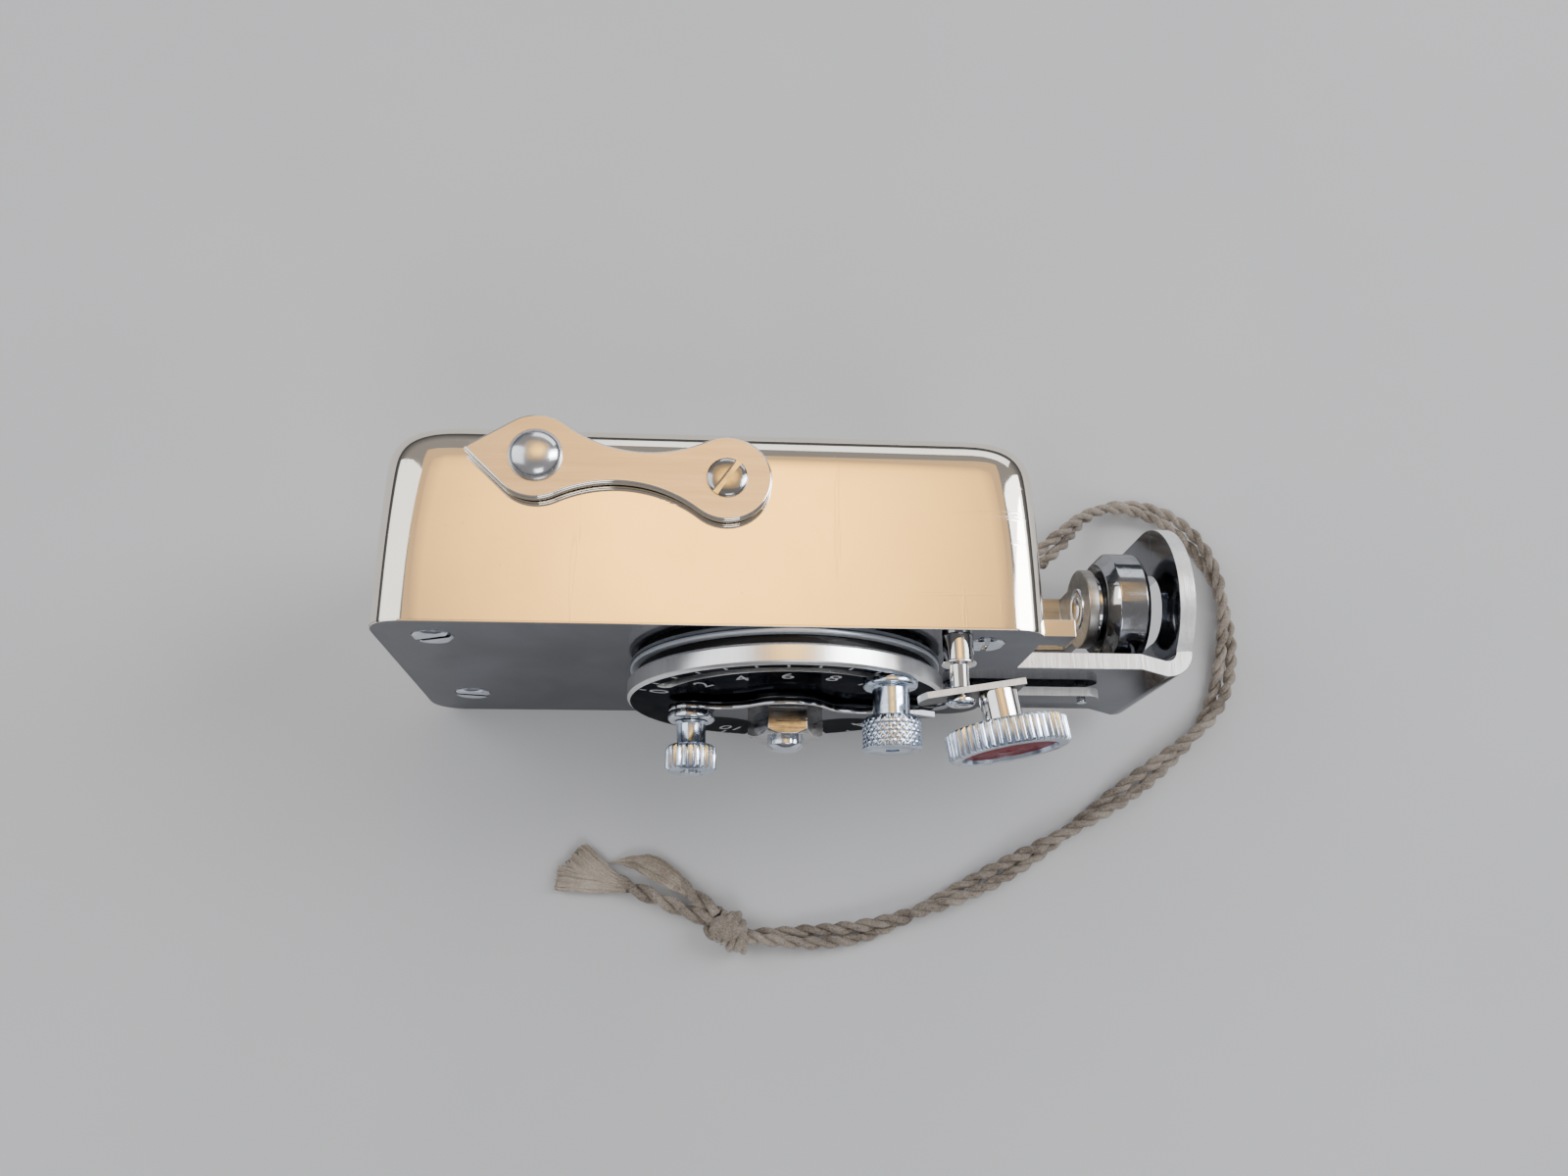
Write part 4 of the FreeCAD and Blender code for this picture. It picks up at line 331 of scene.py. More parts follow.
rim_satin = grained_metal(
    "rim_satin", (0.82, 0.82, 0.82), (0.92, 0.92, 0.92), (1.0, 0.06, 1.0), 1800.0, 0.3, 0.006)
sheared_edge = grained_metal(
    "sheared_edge", (0.78, 0.78, 0.79), (1.0, 1.0, 1.0), (1.0, 0.1, 1.0), 2600.0, 0.35, 0.04,
    metallic=0.25)
# The flange's blue-grey is a painted bluish reflection, not the metal's own colour.
flange_satin_painted_reflection = grained_metal(
    "flange_satin_painted_reflection", (0.46, 0.50, 0.56), (0.64, 0.68, 0.74), (0.06, 1.0, 0.06), 1800.0, 0.3, 0.004,
    metallic=0.25)
satin_steel = grained_metal(
    "satin_steel", (0.60, 0.53, 0.47), (0.74, 0.67, 0.60), (0.05, 1.0, 1.0), 1800.0, 0.33, 0.008)
dull_steel = grained_metal(
    "dull_steel", (0.24, 0.23, 0.22), (0.38, 0.37, 0.35), (0.06, 1.0, 1.0), 1500.0, 0.4, 0.02)
lever_steel = grained_metal(
    "lever_steel", (0.035, 0.035, 0.035), (0.12, 0.12, 0.12), (0.06, 1.0, 1.0), 1500.0, 0.35, 0.02)
turned_steel = grained_metal(
    "turned_steel", (0.45, 0.45, 0.46), (0.66, 0.66, 0.67), (1.0, 0.05, 1.0), 1500.0, 0.3, 0.01)
blued_steel = grained_metal(
    "blued_steel", (0.10, 0.13, 0.25), (0.22, 0.26, 0.42), (1.0, 0.05, 1.0), 1300.0, 0.3, 0.01)
brushed_brass = grained_metal(
    "brushed_brass", (0.55, 0.40, 0.16), (0.76, 0.60, 0.30), (1.0, 0.05, 0.3), 1500.0, 0.3, 0.01)
black_lacquer = lacquer(
    "black_lacquer", (0.006, 0.006, 0.007), (0.05, 0.05, 0.05), 0.5, coat=0.05, gloss=0.15)
red_enamel = lacquer(
    "red_enamel", (0.18, 0.0, 0.012), (0.24, 0.01, 0.02), 0.25, coat=0.0, gloss=0.03)
dial_dark = polished_metal(
    "dial_dark", (0.07, 0.075, 0.09), (0.11, 0.115, 0.125), clean=0.06, smudged=0.2, smudges=300.0,
    dust=0.5, edge=0.3)
mark_fill = lacquer("mark_fill", (0.50, 0.51, 0.52), (0.66, 0.66, 0.66), 0.5)
cord_yarn = yarn("cord_yarn", (0.11, 0.082, 0.06), (0.56, 0.48, 0.40))
frayed_yarn = yarn("frayed_yarn", (0.27, 0.21, 0.16), (0.66, 0.57, 0.47))

SLOT_LOOKS = {
    "nickel_case": case_nickel,
    "nickel_plate": plate_nickel_painted_dark_reflection,
    "movement_brass": brushed_brass,
    "movement_steel": turned_steel,
    "spring_steel": blued_steel,
    "screw_steel": bright_nickel,
    "dial_black": black_lacquer,
    "dial_face": dial_dark,
    "bright_hand": bright_nickel,
    "knurled_nickel": knurled_nickel,
    "red_enamel": red_enamel,
    "pusher_steel": dull_steel,
    "cup_nickel": painted_dark_cup,
    "satin_lever": satin_steel,
    "dome_nickel": dome_nickel,
    "cord_yarn": cord_yarn,
}
SLOT_OF = {part["node"]: part["material_slot"] for part in frame["record"]["subparts"]}
BODY_OF = {
    node: body for body, members in frame["record"]["behaviour"]["bodies"].items() for node in members}

NODE_LOOKS = {"hand_washer": turned_steel}

for name, node in nodes.items():
    node.data.materials.clear()
    node.data.materials.append(NODE_LOOKS.get(name, SLOT_LOOKS[SLOT_OF[name]]))


# Making pieces

SAME_CORNER = 0.002
SAME_PLANE = 1.0
SEAM_REACH = 0.0005
THIN_FACE = 0.0001
OWN_MATERIAL = -1
UP = Vector((0, 0, 1))


def ride_on(piece, name):
    """A piece that is added to a solid, and rides on the solid's body."""
    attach(piece, BODY_OF[name])


def stand_for(piece, name):
    """A piece that replaces a solid: it hides the solid and rides on its body."""
    ride_on(piece, name)
    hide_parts(name)
    return piece


def new_piece(name, mesh, *materials):
    piece = bpy.data.objects.new(name, mesh)
    for material in materials:
        mesh.materials.append(material)
    link(piece)
    return piece


def take_mesh(name, work):
    """Turn a bmesh into a mesh, and free it."""
    mesh = bpy.data.meshes.new(name)
    work.to_mesh(mesh)
    work.free()
    return mesh


def mesh_of_curve(curve):
    """A curve's shape as a mesh. No curve object stays in the scene."""
    carrier = bpy.data.objects.new(curve.name, curve)
    link(carrier)
    bpy.context.view_layer.update()
    mesh = bpy.data.meshes.new_from_object(carrier)
    bpy.data.objects.remove(carrier)
    return mesh


def smooth(mesh, angle=40):
    """Round shading, with hard lines where faces meet at more than this angle."""
    for face in mesh.polygons:
        face.use_smooth = True
    mesh.set_sharp_from_angle(angle=math.radians(angle))


def apply_modifiers(piece):
    """Keep what the modifiers make, and drop the modifiers."""
    evaluated = piece.evaluated_get(bpy.context.evaluated_depsgraph_get())
    mesh = bpy.data.meshes.new_from_object(evaluated)
    piece.modifiers.clear()
    piece.data = mesh
    return piece


def settle_normals(piece):
    """Flat faces keep a flat look, and only the rounds between them bend the reflection."""
    settle = piece.modifiers.new("settled_normals", "WEIGHTED_NORMAL")
    settle.keep_sharp = True
    return apply_modifiers(piece)


def mark_edges(work, angle, spared):
    """Give a weight to every edge that is to be rounded."""
    weights = work.edges.layers.float.new("bevel_weight_edge")
    for edge in work.edges:
        if edge.calc_face_angle(0) > math.radians(angle) and not (spared and spared(edge)):
            edge[weights] = 1.0


def soften_edges(piece, width, segments, round_material):
    """Break every marked edge with a small round that catches the light."""
    bevel = piece.modifiers.new("edge_round", "BEVEL")
    bevel.width = width * MM
    bevel.segments = segments
    bevel.limit_method = "WEIGHT"
    bevel.material = round_material
    bevel.use_clamp_overlap = True
    apply_modifiers(piece)
    smooth(piece.data)
    settle_normals(piece)


def dressed(
        name, node, width, *materials, angle=25, segments=3, round_material=OWN_MATERIAL, chooser=None,
        spared=None, settle=None):
    """A solid's own faces, joined into whole ones, with softly broken edges.

    The chooser gives a face's material, spared names the edges that stay sharp, and settle moves a corner.
    """
    mesh = nodes[node].data.copy()
    mesh.materials.clear()
    work = bmesh.new()
    work.from_mesh(mesh)
    bmesh.ops.remove_doubles(work, verts=work.verts, dist=SAME_CORNER * MM)
    bmesh.ops.dissolve_limit(
        work, angle_limit=math.radians(SAME_PLANE), use_dissolve_boundaries=False, verts=work.verts,
        edges=work.edges)
    mark_edges(work, angle, spared)
    if settle:
        for vertex in work.verts:
            vertex.co = settle(vertex.co / MM) * MM
    if chooser:
        for face in work.faces:
            face.material_index = chooser(face)
    work.to_mesh(mesh)
    work.free()
    for key in list(mesh.attributes.keys()):
        if key.startswith("custom_normal"):
            mesh.attributes.remove(mesh.attributes[key])
    piece = new_piece(name, mesh, *materials)
    soften_edges(piece, width, segments, round_material)
    stand_for(piece, node)


def towards_front(x, depth, z):
    """Local x, y and z point to the right, up and to the front. The place is in millimetres."""
    return Matrix(((1, 0, 0, x), (0, 0, -1, depth), (0, 1, 0, z), (0, 0, 0, 1)))


def towards_right(x, depth, z):
    return Matrix(((0, 0, 1, x), (0, 1, 0, depth), (-1, 0, 0, z), (0, 0, 0, 1)))


def upwards(x, depth, z, turn=0.0):
    return Matrix.Translation((x, depth, z)) @ Matrix.Rotation(math.radians(turn), 4, "Z")


def join_rings(work, layers, material=0):
    """Four-sided faces between closed rings that all have the same count of corners."""
    count = len(layers[0])
    for low, high in zip(layers, layers[1:]):
        for k in range(count):
            m = (k + 1) % count
            work.faces.new((low[k], low[m], high[m], high[k])).material_index = material


def close_ends(work, layers, material=0):
    """A face over the first ring and one over the last. Returns the first."""
    first = work.faces.new(list(reversed(layers[0])))
    first.material_index = material
    work.faces.new(layers[-1]).material_index = material
    return first


def turned_piece(name, profile, place, material, steps=72, relief=None):
    """A skin turned round local z. The profile holds (radius, height), and relief adds to a radius."""
    work = bmesh.new()
    layers = []
    for radius, height in profile:
        ring = []
        for k in range(steps):
            angle = FULL_TURN * k / steps
            reach = radius + (relief(angle, radius, height) if relief and radius else 0)
            point = place @ Vector((reach * math.cos(angle), reach * math.sin(angle), height))
            ring.append(work.verts.new(point * MM))
        layers.append(ring)
    has_bore = profile[0][0] and profile[-1][0]
    join_rings(work, layers + layers[:1] if has_bore else layers)
    bmesh.ops.remove_doubles(work, verts=work.verts, dist=SEAM_REACH * MM)
    bmesh.ops.dissolve_degenerate(work, dist=THIN_FACE * MM, edges=work.edges)
    bmesh.ops.recalc_face_normals(work, faces=work.faces)
    mesh = take_mesh(name, work)
    smooth(mesh)
    return new_piece(name, mesh, material)


def cut_slot(piece, place, length, width, low, high):
    """Cut a screwdriver slot into a head."""
    work = bmesh.new()
    bmesh.ops.create_cube(work, size=1.0)
    for vertex in work.verts:
        height = (low + high) / 2 + vertex.co.z * (high - low)
        vertex.co = place @ Vector((vertex.co.x * length, vertex.co.y * width, height)) * MM
    mesh = take_mesh("slot_cutter", work)
    cutter = new_piece("slot_cutter", mesh)
    cut = piece.modifiers.new("slot", "BOOLEAN")
    cut.operation = "DIFFERENCE"
    cut.object = cutter
    apply_modifiers(piece)
    bpy.data.objects.remove(cutter)
    bpy.data.meshes.remove(mesh)
    smooth(piece.data)


# The cord: a doubled string, each of two plies

CORD_ROUTE = [
    (32.45, 6.21, 4.8), (35.0, 8.35, 4.8), (38.9, 12.45, 2.2), (43.7, 13.85, 1.1), (48.9, 11.95, 1.1),
    (52.6, 6.15, 1.1), (52.8, -1.45, 1.1), (50.6, -8.35, 1.1), (45.2, -13.05, 1.1), (37.6, -18.25, 1.1),
    (29.4, -23.15, 1.1), (20.6, -27.25, 1.1), (12.0, -30.15, 1.1), (3.3, -29.55, 1.1),
]
STRING_APART = 0.58
PAIR_TURN = 34.0
PAIR_STEP = 0.4
PLY_RADIUS = 0.31
PLY_SHARE = 0.93
PLY_TURN = 3.7
PLY_STEP = 0.14
PLY_SIDES = 16
PLY_WAVER = 0.06
PLY_WAVER_PACE = 0.29
FLOOR_GAP = 0.02
LOWEST_HAIR = 0.1
FIBRE_LOBES = 5
FIBRE_DEPTH = 0.055
FIBRE_TURN = 2.1


def spline_points(name, route, resolution=10):
    """Points in metres along a smooth NURBS line that the route controls, given in millimetres."""
    curve = bpy.data.curves.new(name, "CURVE")
    curve.dimensions = "3D"
    curve.resolution_u = resolution
    spline = curve.splines.new("NURBS")
    spline.points.add(len(route) - 1)
    for point, place in zip(spline.points, route):
        point.co = (*(Vector(place) * MM), 1)
    spline.order_u = 3
    spline.use_endpoint_u = True
    mesh = mesh_of_curve(curve)
    points = [vertex.co.copy() for vertex in mesh.vertices]
    bpy.data.meshes.remove(mesh)
    return points


def evenly(points, step):
    """The same line with points at an even distance, and its length."""
    places = [0.0]
    for a, b in zip(points, points[1:]):
        places.append(places[-1] + (b - a).length)
    count = max(2, round(places[-1] / step))
    result = []
    k = 0
    for n in range(count + 1):
        reach = places[-1] * n / count
        while k < len(places) - 2 and places[k + 1] < reach:
            k += 1
        share = (reach - places[k]) / max(places[k + 1] - places[k], 1e-9)
        result.append(points[k].lerp(points[k + 1], share))
    return result, places[-1]


def travelling_frames(points):
    """Direction, side and rise at each point, turned as little as possible on the way."""
    frames = []
    ahead = (points[1] - points[0]).normalized()
    side = ahead.cross(UP).normalized()
    for k, point in enumerate(points):
        before = points[max(k - 1, 0)]
        after = points[min(k + 1, len(points) - 1)]
        turned = (after - before).normalized()
        side = ahead.rotation_difference(turned) @ side
        side = (side - turned * side.dot(turned)).normalized()
        ahead = turned
        frames.append((point, ahead, side, ahead.cross(side)))
    return frames


def swept_tube(work, line, radii, sides, material=0, lobes=0, turn=0.0):
    """Add a closed tube along a line to a bmesh. Lobes are fibre bundles that wind round the tube."""
    layers = []
    for k, ((point, _, side, rise), radius) in enumerate(zip(travelling_frames(line), radii)):
        ring = []
        for n in range(sides):
            angle = FULL_TURN * n / sides
            swell = 1 + FIBRE_DEPTH * math.cos(lobes * (angle - turn * k)) if lobes else 1
            outward = side * math.cos(angle) + rise * math.sin(angle)
            ring.append(work.verts.new(point + outward * radius * swell))
        layers.append(ring)
    join_rings(work, layers, material)
    close_ends(work, layers, material)


def string_line(points, apart, turn, start, step):
    """A line that winds round another at a distance, one turn in each given length."""
    line, length = evenly(points, step * MM)
    wound = []
    for k, (point, _, side, rise) in enumerate(travelling_frames(line)):
        angle = start + FULL_TURN * (length * k / (len(line) - 1)) / (turn * MM)
        wound.append(point + (side * math.cos(angle) + rise * math.sin(angle)) * apart * MM)
    return wound


def plied_string(work, points, phase, radius=PLY_RADIUS, turn=PLY_TURN):
    """Two plies twisted round the string's own line, each of a few fibre bundles."""
    fibre_turn = -FULL_TURN * PLY_STEP / (FIBRE_TURN * turn / 3)
    for k in range(2):
        ply = string_line(points, PLY_SHARE * radius, turn, phase + math.pi * k, PLY_STEP)
        swell = [
            radius * MM * (1 + PLY_WAVER * math.sin(n * PLY_WAVER_PACE + phase)) for n in range(len(ply))]
        swept_tube(work, ply, swell, PLY_SIDES, lobes=FIBRE_LOBES, turn=fibre_turn)


def cord_piece(name, work, *materials):
    bmesh.ops.recalc_face_normals(work, faces=work.faces)
    mesh = take_mesh(name, work)
    smooth(mesh, 60)
    return new_piece(name, mesh, *materials)


def above_floor(points, least):
    """The same points, none of them nearer to the floor than this."""
    return [Vector((p.x, p.y, max(p.z, least * MM))) for p in points]


def make_cord():
    """Two strings that wind round the cord's line. Returns them and the line."""
    centre = spline_points("cord_line", CORD_ROUTE)
    work = bmesh.new()
    for k in range(2):
        string = string_line(centre, STRING_APART, PAIR_TURN, math.pi * k, PAIR_STEP)
        string = above_floor(string, (1 + PLY_SHARE) * PLY_RADIUS + FLOOR_GAP)
        plied_string(work, string, k * 1.3)
    return stand_for(cord_piece("cord_strings", work, cord_yarn), "cord_pair"), centre


def add_hair(work, hair, radii, sides):
    """One frayed fibre that thins out to its end."""
    swept_tube(work, above_floor(hair, LOWEST_HAIR), [radius * MM for radius in radii], sides, 1)


RING_CENTRE = Vector((28.3, 4.15, 4.8))
RING_RADIUS = 1.7
BIGHT_HEADING = math.radians(40)
BIGHT_ROUTE = [
    (3.3, 0.53), (2.2, 0.62), (0.9, 1.0), (-0.9, 1.15), (-1.5, 0), (-0.9, -1.15), (0.9, -1.0), (2.2, -0.62),
    (3.3, -0.53)]
BIGHT_PLY = 0.26


def make_bight():
    """The string's loop round the eyelet's wire."""
    ahead = Vector((math.cos(BIGHT_HEADING), math.sin(BIGHT_HEADING), 0))
    side = Vector((-ahead.y, ahead.x, 0))
    wire = RING_CENTRE + Vector((RING_RADIUS, 0, 0))
    route = [wire + ahead * reach + side * apart for reach, apart in BIGHT_ROUTE]
    work = bmesh.new()
    plied_string(work, spline_points("bight_line", route, 14), 0.4, radius=BIGHT_PLY)
    return stand_for(cord_piece("cord_loop_at_ring", work, cord_yarn), "cord_bight")


KNOT_CENTRE = Vector((2.1, -29.05, 1.95))
KNOT_REACH = 0.95
KNOT_RISE = 0.42
KNOT_FLATNESS = 0.9
KNOT_SHIFTS = (-0.42, 0.42)
KNOT_OVERRUN = 0.75
KNOT_STEPS = 110
KNOT_PLY = 0.34
KNOT_TURN = 2.4
KNOT_CORE = ((-1.7, 0.5), (-1.2, 0.9), (-0.4, 1.15), (0.4, 1.15), (1.2, 0.9), (1.7, 0.5))
KNOT_HAIRS = 60
KNOT_HAIR_RADII = (0.03, 0.03, 0.025, 0.012)


def add_knot_hairs(work):
    """Short bent hairs that stand off the knot."""
    chance = random.Random(5)
    for _ in range(KNOT_HAIRS):
        turn = chance.uniform(0, FULL_TURN)
        height = chance.uniform(-0.6, 1)
        flat = math.sqrt(1 - height ** 2)
        outward = Vector((flat * math.cos(turn), flat * math.sin(turn), height))
        lean = outward.cross(Vector((chance.uniform(-1, 1), chance.uniform(-1, 1), 0.3))).normalized()
        reach = chance.uniform(0.3, 0.8)
        hair = []
        for step in (0, 0.6, 1.2, 1.8):
            rise = 1.35 + 0.28 * reach * math.sin(step)
            hair.append((KNOT_CENTRE + outward * rise + lean * reach * step * 0.5) * MM)
        add_hair(work, hair, KNOT_HAIR_RADII, 4)


def make_knot():
    """Overhand knot of the doubled string, drawn tight and fuzzy with use."""
    along = Vector((-1, 0.25, 0)).normalized()
    across = Vector((-along.y, along.x, 0))
    work = bmesh.new()
    for shift in KNOT_SHIFTS:
        line = []
        for k in range(KNOT_STEPS + 1):
            t = -KNOT_OVERRUN + (FULL_TURN + 2 * KNOT_OVERRUN) * k / KNOT_STEPS
            reach = KNOT_REACH + KNOT_RISE * math.cos(1.5 * t + 0.4)
            flat = across * math.cos(t) * reach + UP * math.sin(t) * reach * KNOT_FLATNESS
            drift = along * (1.05 * math.sin(0.5 * t - math.pi / 2) + shift + 0.3 * math.sin(1.5 * t))
            line.append((KNOT_CENTRE + flat + drift) * MM)
        plied_string(work, line, shift * 5, radius=KNOT_PLY, turn=KNOT_TURN)
    core = [(KNOT_CENTRE + along * place) * MM for place, _ in KNOT_CORE]
    swept_tube(work, core, [radius * MM for _, radius in KNOT_CORE], PLY_SIDES)
    add_knot_hairs(work)
    return stand_for(cord_piece("cord_overhand_knot", work, cord_yarn, frayed_yarn), "cord_knot")


# A fan is its line and its half widths at even distances along it.
LONG_TAIL = [
    (1.0, -28.4, 1.5), (-1.2, -27.6, 1.0), (-3.9, -26.5, 0.85), (-6.2, -25.5, 0.85), (-8.2, -24.75, 0.8)]
LONG_FANS = [
    ([(-7.3, -25.1, 0.8), (-9.0, -24.4, 0.75), (-10.6, -23.4, 0.7), (-11.9, -22.2, 0.65)],
     (0.5, 0.8, 1.15, 1.3)),
    ([(-7.3, -25.2, 0.8), (-9.2, -25.0, 0.75), (-11.4, -24.7, 0.7), (-13.5, -24.4, 0.6)],
     (0.55, 0.75, 0.95, 1.15)),
]
SHORT_TAIL = [(1.2, -27.6, 1.6), (-0.2, -26.6, 1.1), (-1.7, -25.5, 0.95), (-2.6, -24.8, 0.9)]
SHORT_FANS = [
    ([(-1.6, -25.6, 0.95), (-3.2, -24.4, 0.9), (-5.0, -23.3, 0.8), (-6.9, -22.8, 0.6), (-8.6, -22.9, 0.35)],
     (0.5, 0.85, 1.0, 0.55, 0.08)),
]
TAIL_PLY = 0.40
TAIL_TURN = 5.2
FAN_THICK = 0.42
FAN_SIDES = 44
FAN_STEP = 0.25
FAN_HAIRS = 34
FAN_HAIR_RADII = (0.05, 0.05, 0.05, 0.05, 0.05, 0.04, 0.015)
FAN_HAIR_START = 0.25
RIDGE_RANGE = (-0.16, 0.1)
RIDGE_RISE = 2.5


def eased(values, share):
    """The value at a share of the way along a row of values, blended softly."""
    place = share * (len(values) - 1)
    low = min(int(place), len(values) - 2)
    blend = place - low
    blend = blend * blend * (3 - 2 * blend)
    return values[low] * (1 - blend) + values[low + 1] * blend


def make_fan(work, route, halves, chance, ragged):
    """A flat bundle of loosened fibres: ridges along it, and a ragged end."""
    line, _ = evenly(spline_points("fan_line", route), FAN_STEP * MM)
    frames = travelling_frames(line)
    last = len(line) - 1
    ridges = [1 + chance.uniform(*RIDGE_RANGE) for _ in range(FAN_SIDES)]
    layers = []
    for k, (point, ahead, side, _) in enumerate(frames):
        half = eased(halves, k / last)
        thick = min(half, FAN_THICK)
        ring = []
        for n, ridge in enumerate(ridges):
            angle = FULL_TURN * n / FAN_SIDES
            place = point + side * math.cos(angle) * half * ridge * MM
            place += UP * math.sin(angle) * thick * (1 + (ridge - 1) * RIDGE_RISE) * MM
            if k == last:
                place += ahead * chance.uniform(-1, 1) * ragged * MM
            ring.append(work.verts.new((place.x, place.y, max(place.z, LOWEST_HAIR * MM))))
        layers.append(ring)
    join_rings(work, layers, 1)
    close_ends(work, layers, 1)
    for _ in range(FAN_HAIRS):
        add_fan_hair(work, frames, halves, chance)


def add_fan_hair(work, frames, halves, chance):
    """One loose hair on the bundle's skin, which stands out a little past its end."""
    spread = chance.uniform(-1, 1)
    hair = []
    for k in range(len(FAN_HAIR_RADII)):
        share = FAN_HAIR_START + (1 - FAN_HAIR_START) * k / (len(FAN_HAIR_RADII) - 1)
        point, ahead, side, _ = frames[round((len(frames) - 1) * share)]
        half = halves[round(share * (len(halves) - 1))]
        lift = FAN_THICK * math.sqrt(max(0, 1 - spread ** 2)) * min(half, 1)
        hair.append(point + side * spread * half * 0.98 * MM + Vector((0, 0, lift * MM)))
    hair[-1] += ahead * (chance.uniform(0, 0.5) * MM)
    add_hair(work, hair, FAN_HAIR_RADII, 5)


def make_tail(name, route, fans, node, seed, ragged):
    """A loose end: the slack string, and the bundles of fibre that it opens into."""
    chance = random.Random(seed)
    work = bmesh.new()
    plied_string(work, spline_points(name + "_line", route), 0.8, radius=TAIL_PLY, turn=TAIL_TURN)
    for fan, halves in fans:
        make_fan(work, fan, halves, chance, ragged)
    return stand_for(cord_piece(name, work, cord_yarn, frayed_yarn), node)


cord, cord_line = make_cord()
bight = make_bight()
knot = make_knot()
long_tail = make_tail("cord_end_long", LONG_TAIL, LONG_FANS, "cord_tail_long", 3, 0.35)
short_tail = make_tail("cord_end_short", SHORT_TAIL, SHORT_FANS, "cord_tail_short", 8, 0.1)


# Case, plate and small solids

PLATE_REAR = -7.05
COVER_FRONT = -8.3
CASE_BACK = 8.45
CASE_HALF_WIDTH = 26.0
CASE_HEIGHT = 29.4
SIDE_ROUND = 4.2
BACK_ROUND = 4.8
ROUND_FULLNESS = 3.1
ROUND_STEPS = 22
COVER_LAP = 0.012
COVER_LIP = 0.4
CORNER_GROWTH = 3.2
GROWTH_START = -5.0
CORNER_SHARE = 0.6
WALL_ROWS = 10
BACK_RIM = 0.5
LEG_START = 28.3
FORK_START = 40.0
FORK_REAR = -6.4


def full_round(k):
    """Share of the radius along and across, for a corner that sets in softly and turns sharply half way."""
    turn = math.pi / 2 * k / ROUND_STEPS
    return abs(math.cos(turn)) ** (2 / ROUND_FULLNESS), abs(math.sin(turn)) ** (2 / ROUND_FULLNESS)


def rounded_ring(half_width, low, high, corner, depth):
    """Points of a softly rounded rectangle that faces the front, in metres."""
    points = []
    corners = (
        (half_width - corner, high - corner, 1, 1), (-half_width + corner, high - corner, -1, 1),
        (-half_width + corner, low + corner, -1, -1), (half_width - corner, low + corner, 1, -1))
    for x, z, right, up in corners:
        outward = [full_round(k) for k in range(ROUND_STEPS + 1)]
        if right != up:
            outward.reverse()
        for across, rise in outward:
            points.append(Vector((x + right * corner * across, depth, z + up * corner * rise)) * MM)
    return points


def corner_growth(depth):
    """Growth of the corners' radius towards the back, where a drawn cover is rounder."""
    share = max(0, (depth - GROWTH_START) / (CASE_BACK - GROWTH_START))
    return CORNER_GROWTH * (1 - math.sqrt(max(0, 1 - share ** 2)))


def make_case():
    """The drawn cover as one skin: it laps over the front plate's rim and closes round the back."""
    profile = [(-COVER_LAP, COVER_FRONT), (-COVER_LAP, COVER_FRONT + COVER_LIP), (-COVER_LAP, PLATE_REAR)]
    for row in range(1, WALL_ROWS):
        share = row / WALL_ROWS
        depth = PLATE_REAR + share * (CASE_BACK - BACK_ROUND - PLATE_REAR)
        profile.append((-COVER_LAP * (1 - share), depth))
    for k in range(ROUND_STEPS + 1):
        across, along = full_round(k)
        profile.append((BACK_ROUND * (1 - across), CASE_BACK - BACK_ROUND * (1 - along)))
    profile.append((BACK_ROUND + BACK_RIM, CASE_BACK))
    work = bmesh.new()
    layers = []
    for inset, depth in profile:
        corner = SIDE_ROUND - max(inset, 0) * CORNER_SHARE + corner_growth(depth)
        ring = rounded_ring(CASE_HALF_WIDTH - inset, inset, CASE_HEIGHT - inset, corner, depth)
        layers.append([work.verts.new(point) for point in ring])
    join_rings(work, layers)
    mouth = close_ends(work, layers)
    bmesh.ops.recalc_face_normals(work, faces=work.faces)
    bmesh.ops.delete(work, geom=[mouth], context="FACES")
    mesh = take_mesh("case_cover", work)
    smooth(mesh, 50)
    cover = new_piece("case_cover", mesh, case_nickel)
    stand_for(settle_normals(cover), "case_shell")


make_case()


def plate_faces(face):
    """The rim matches the case, the sheared edges of the leg are rough, and the rest is a mirror painted
    darker, as a painted dark reflection.
    """
    mirror, sheared, rim = 0, 1, 2
    centre = face.calc_center_median() / MM
    normal = face.normal
    if centre.x < LEG_START:
        return rim if abs(normal.y) < 0.5 else mirror
    if abs(normal.z) > 0.5:
        return sheared
    if centre.x > FORK_START and abs(normal.x) < 0.5 and centre.y > FORK_REAR:
        return sheared
    return mirror


def meets_case(edge):
    """The plate's rear rim lies on the case's lip, and stays sharp there."""
    places = [vertex.co / MM for vertex in edge.verts]
    return all(abs(place.y - PLATE_REAR) < 0.01 and place.x < CASE_HALF_WIDTH + 0.1 for place in places)


def under_cover(place):
    """The plate's corners stay just inside the cover that laps over them."""
    reach = (abs(place.x) - CASE_HALF_WIDTH + SIDE_ROUND) / SIDE_ROUND
    middle = CASE_HEIGHT / 2
    rise = (abs(place.z - middle) - middle + SIDE_ROUND) / SIDE_ROUND
    if reach <= 0 or rise <= 0 or abs(place.x) > CASE_HALF_WIDTH + 0.01:
        return place
    if place.x > 0 and place.z < middle:
        return place
    over = (reach ** ROUND_FULLNESS + rise ** ROUND_FULLNESS) ** (1 / ROUND_FULLNESS)
    if over <= 1:
        return place
    x = CASE_HALF_WIDTH - SIDE_ROUND + SIDE_ROUND * reach / over
    z = middle - SIDE_ROUND + SIDE_ROUND * rise / over
    return Vector((math.copysign(x, place.x), place.y, middle + math.copysign(z, place.z - middle)))


def top_only(face):
    """The lever's face is satin, and its edge is polished."""
    return 0 if face.normal.z > 0.9 else 1


def flat_only(face):
    """A lever's flat sides are finished, and its cut edge is bright."""
    return 0 if abs(face.normal.y) > 0.7 else 1


def dial_parts(face):
    """The rim is bright, and the face that looks to the front is dark."""
    return 1 if face.normal.y < -0.9 else 0


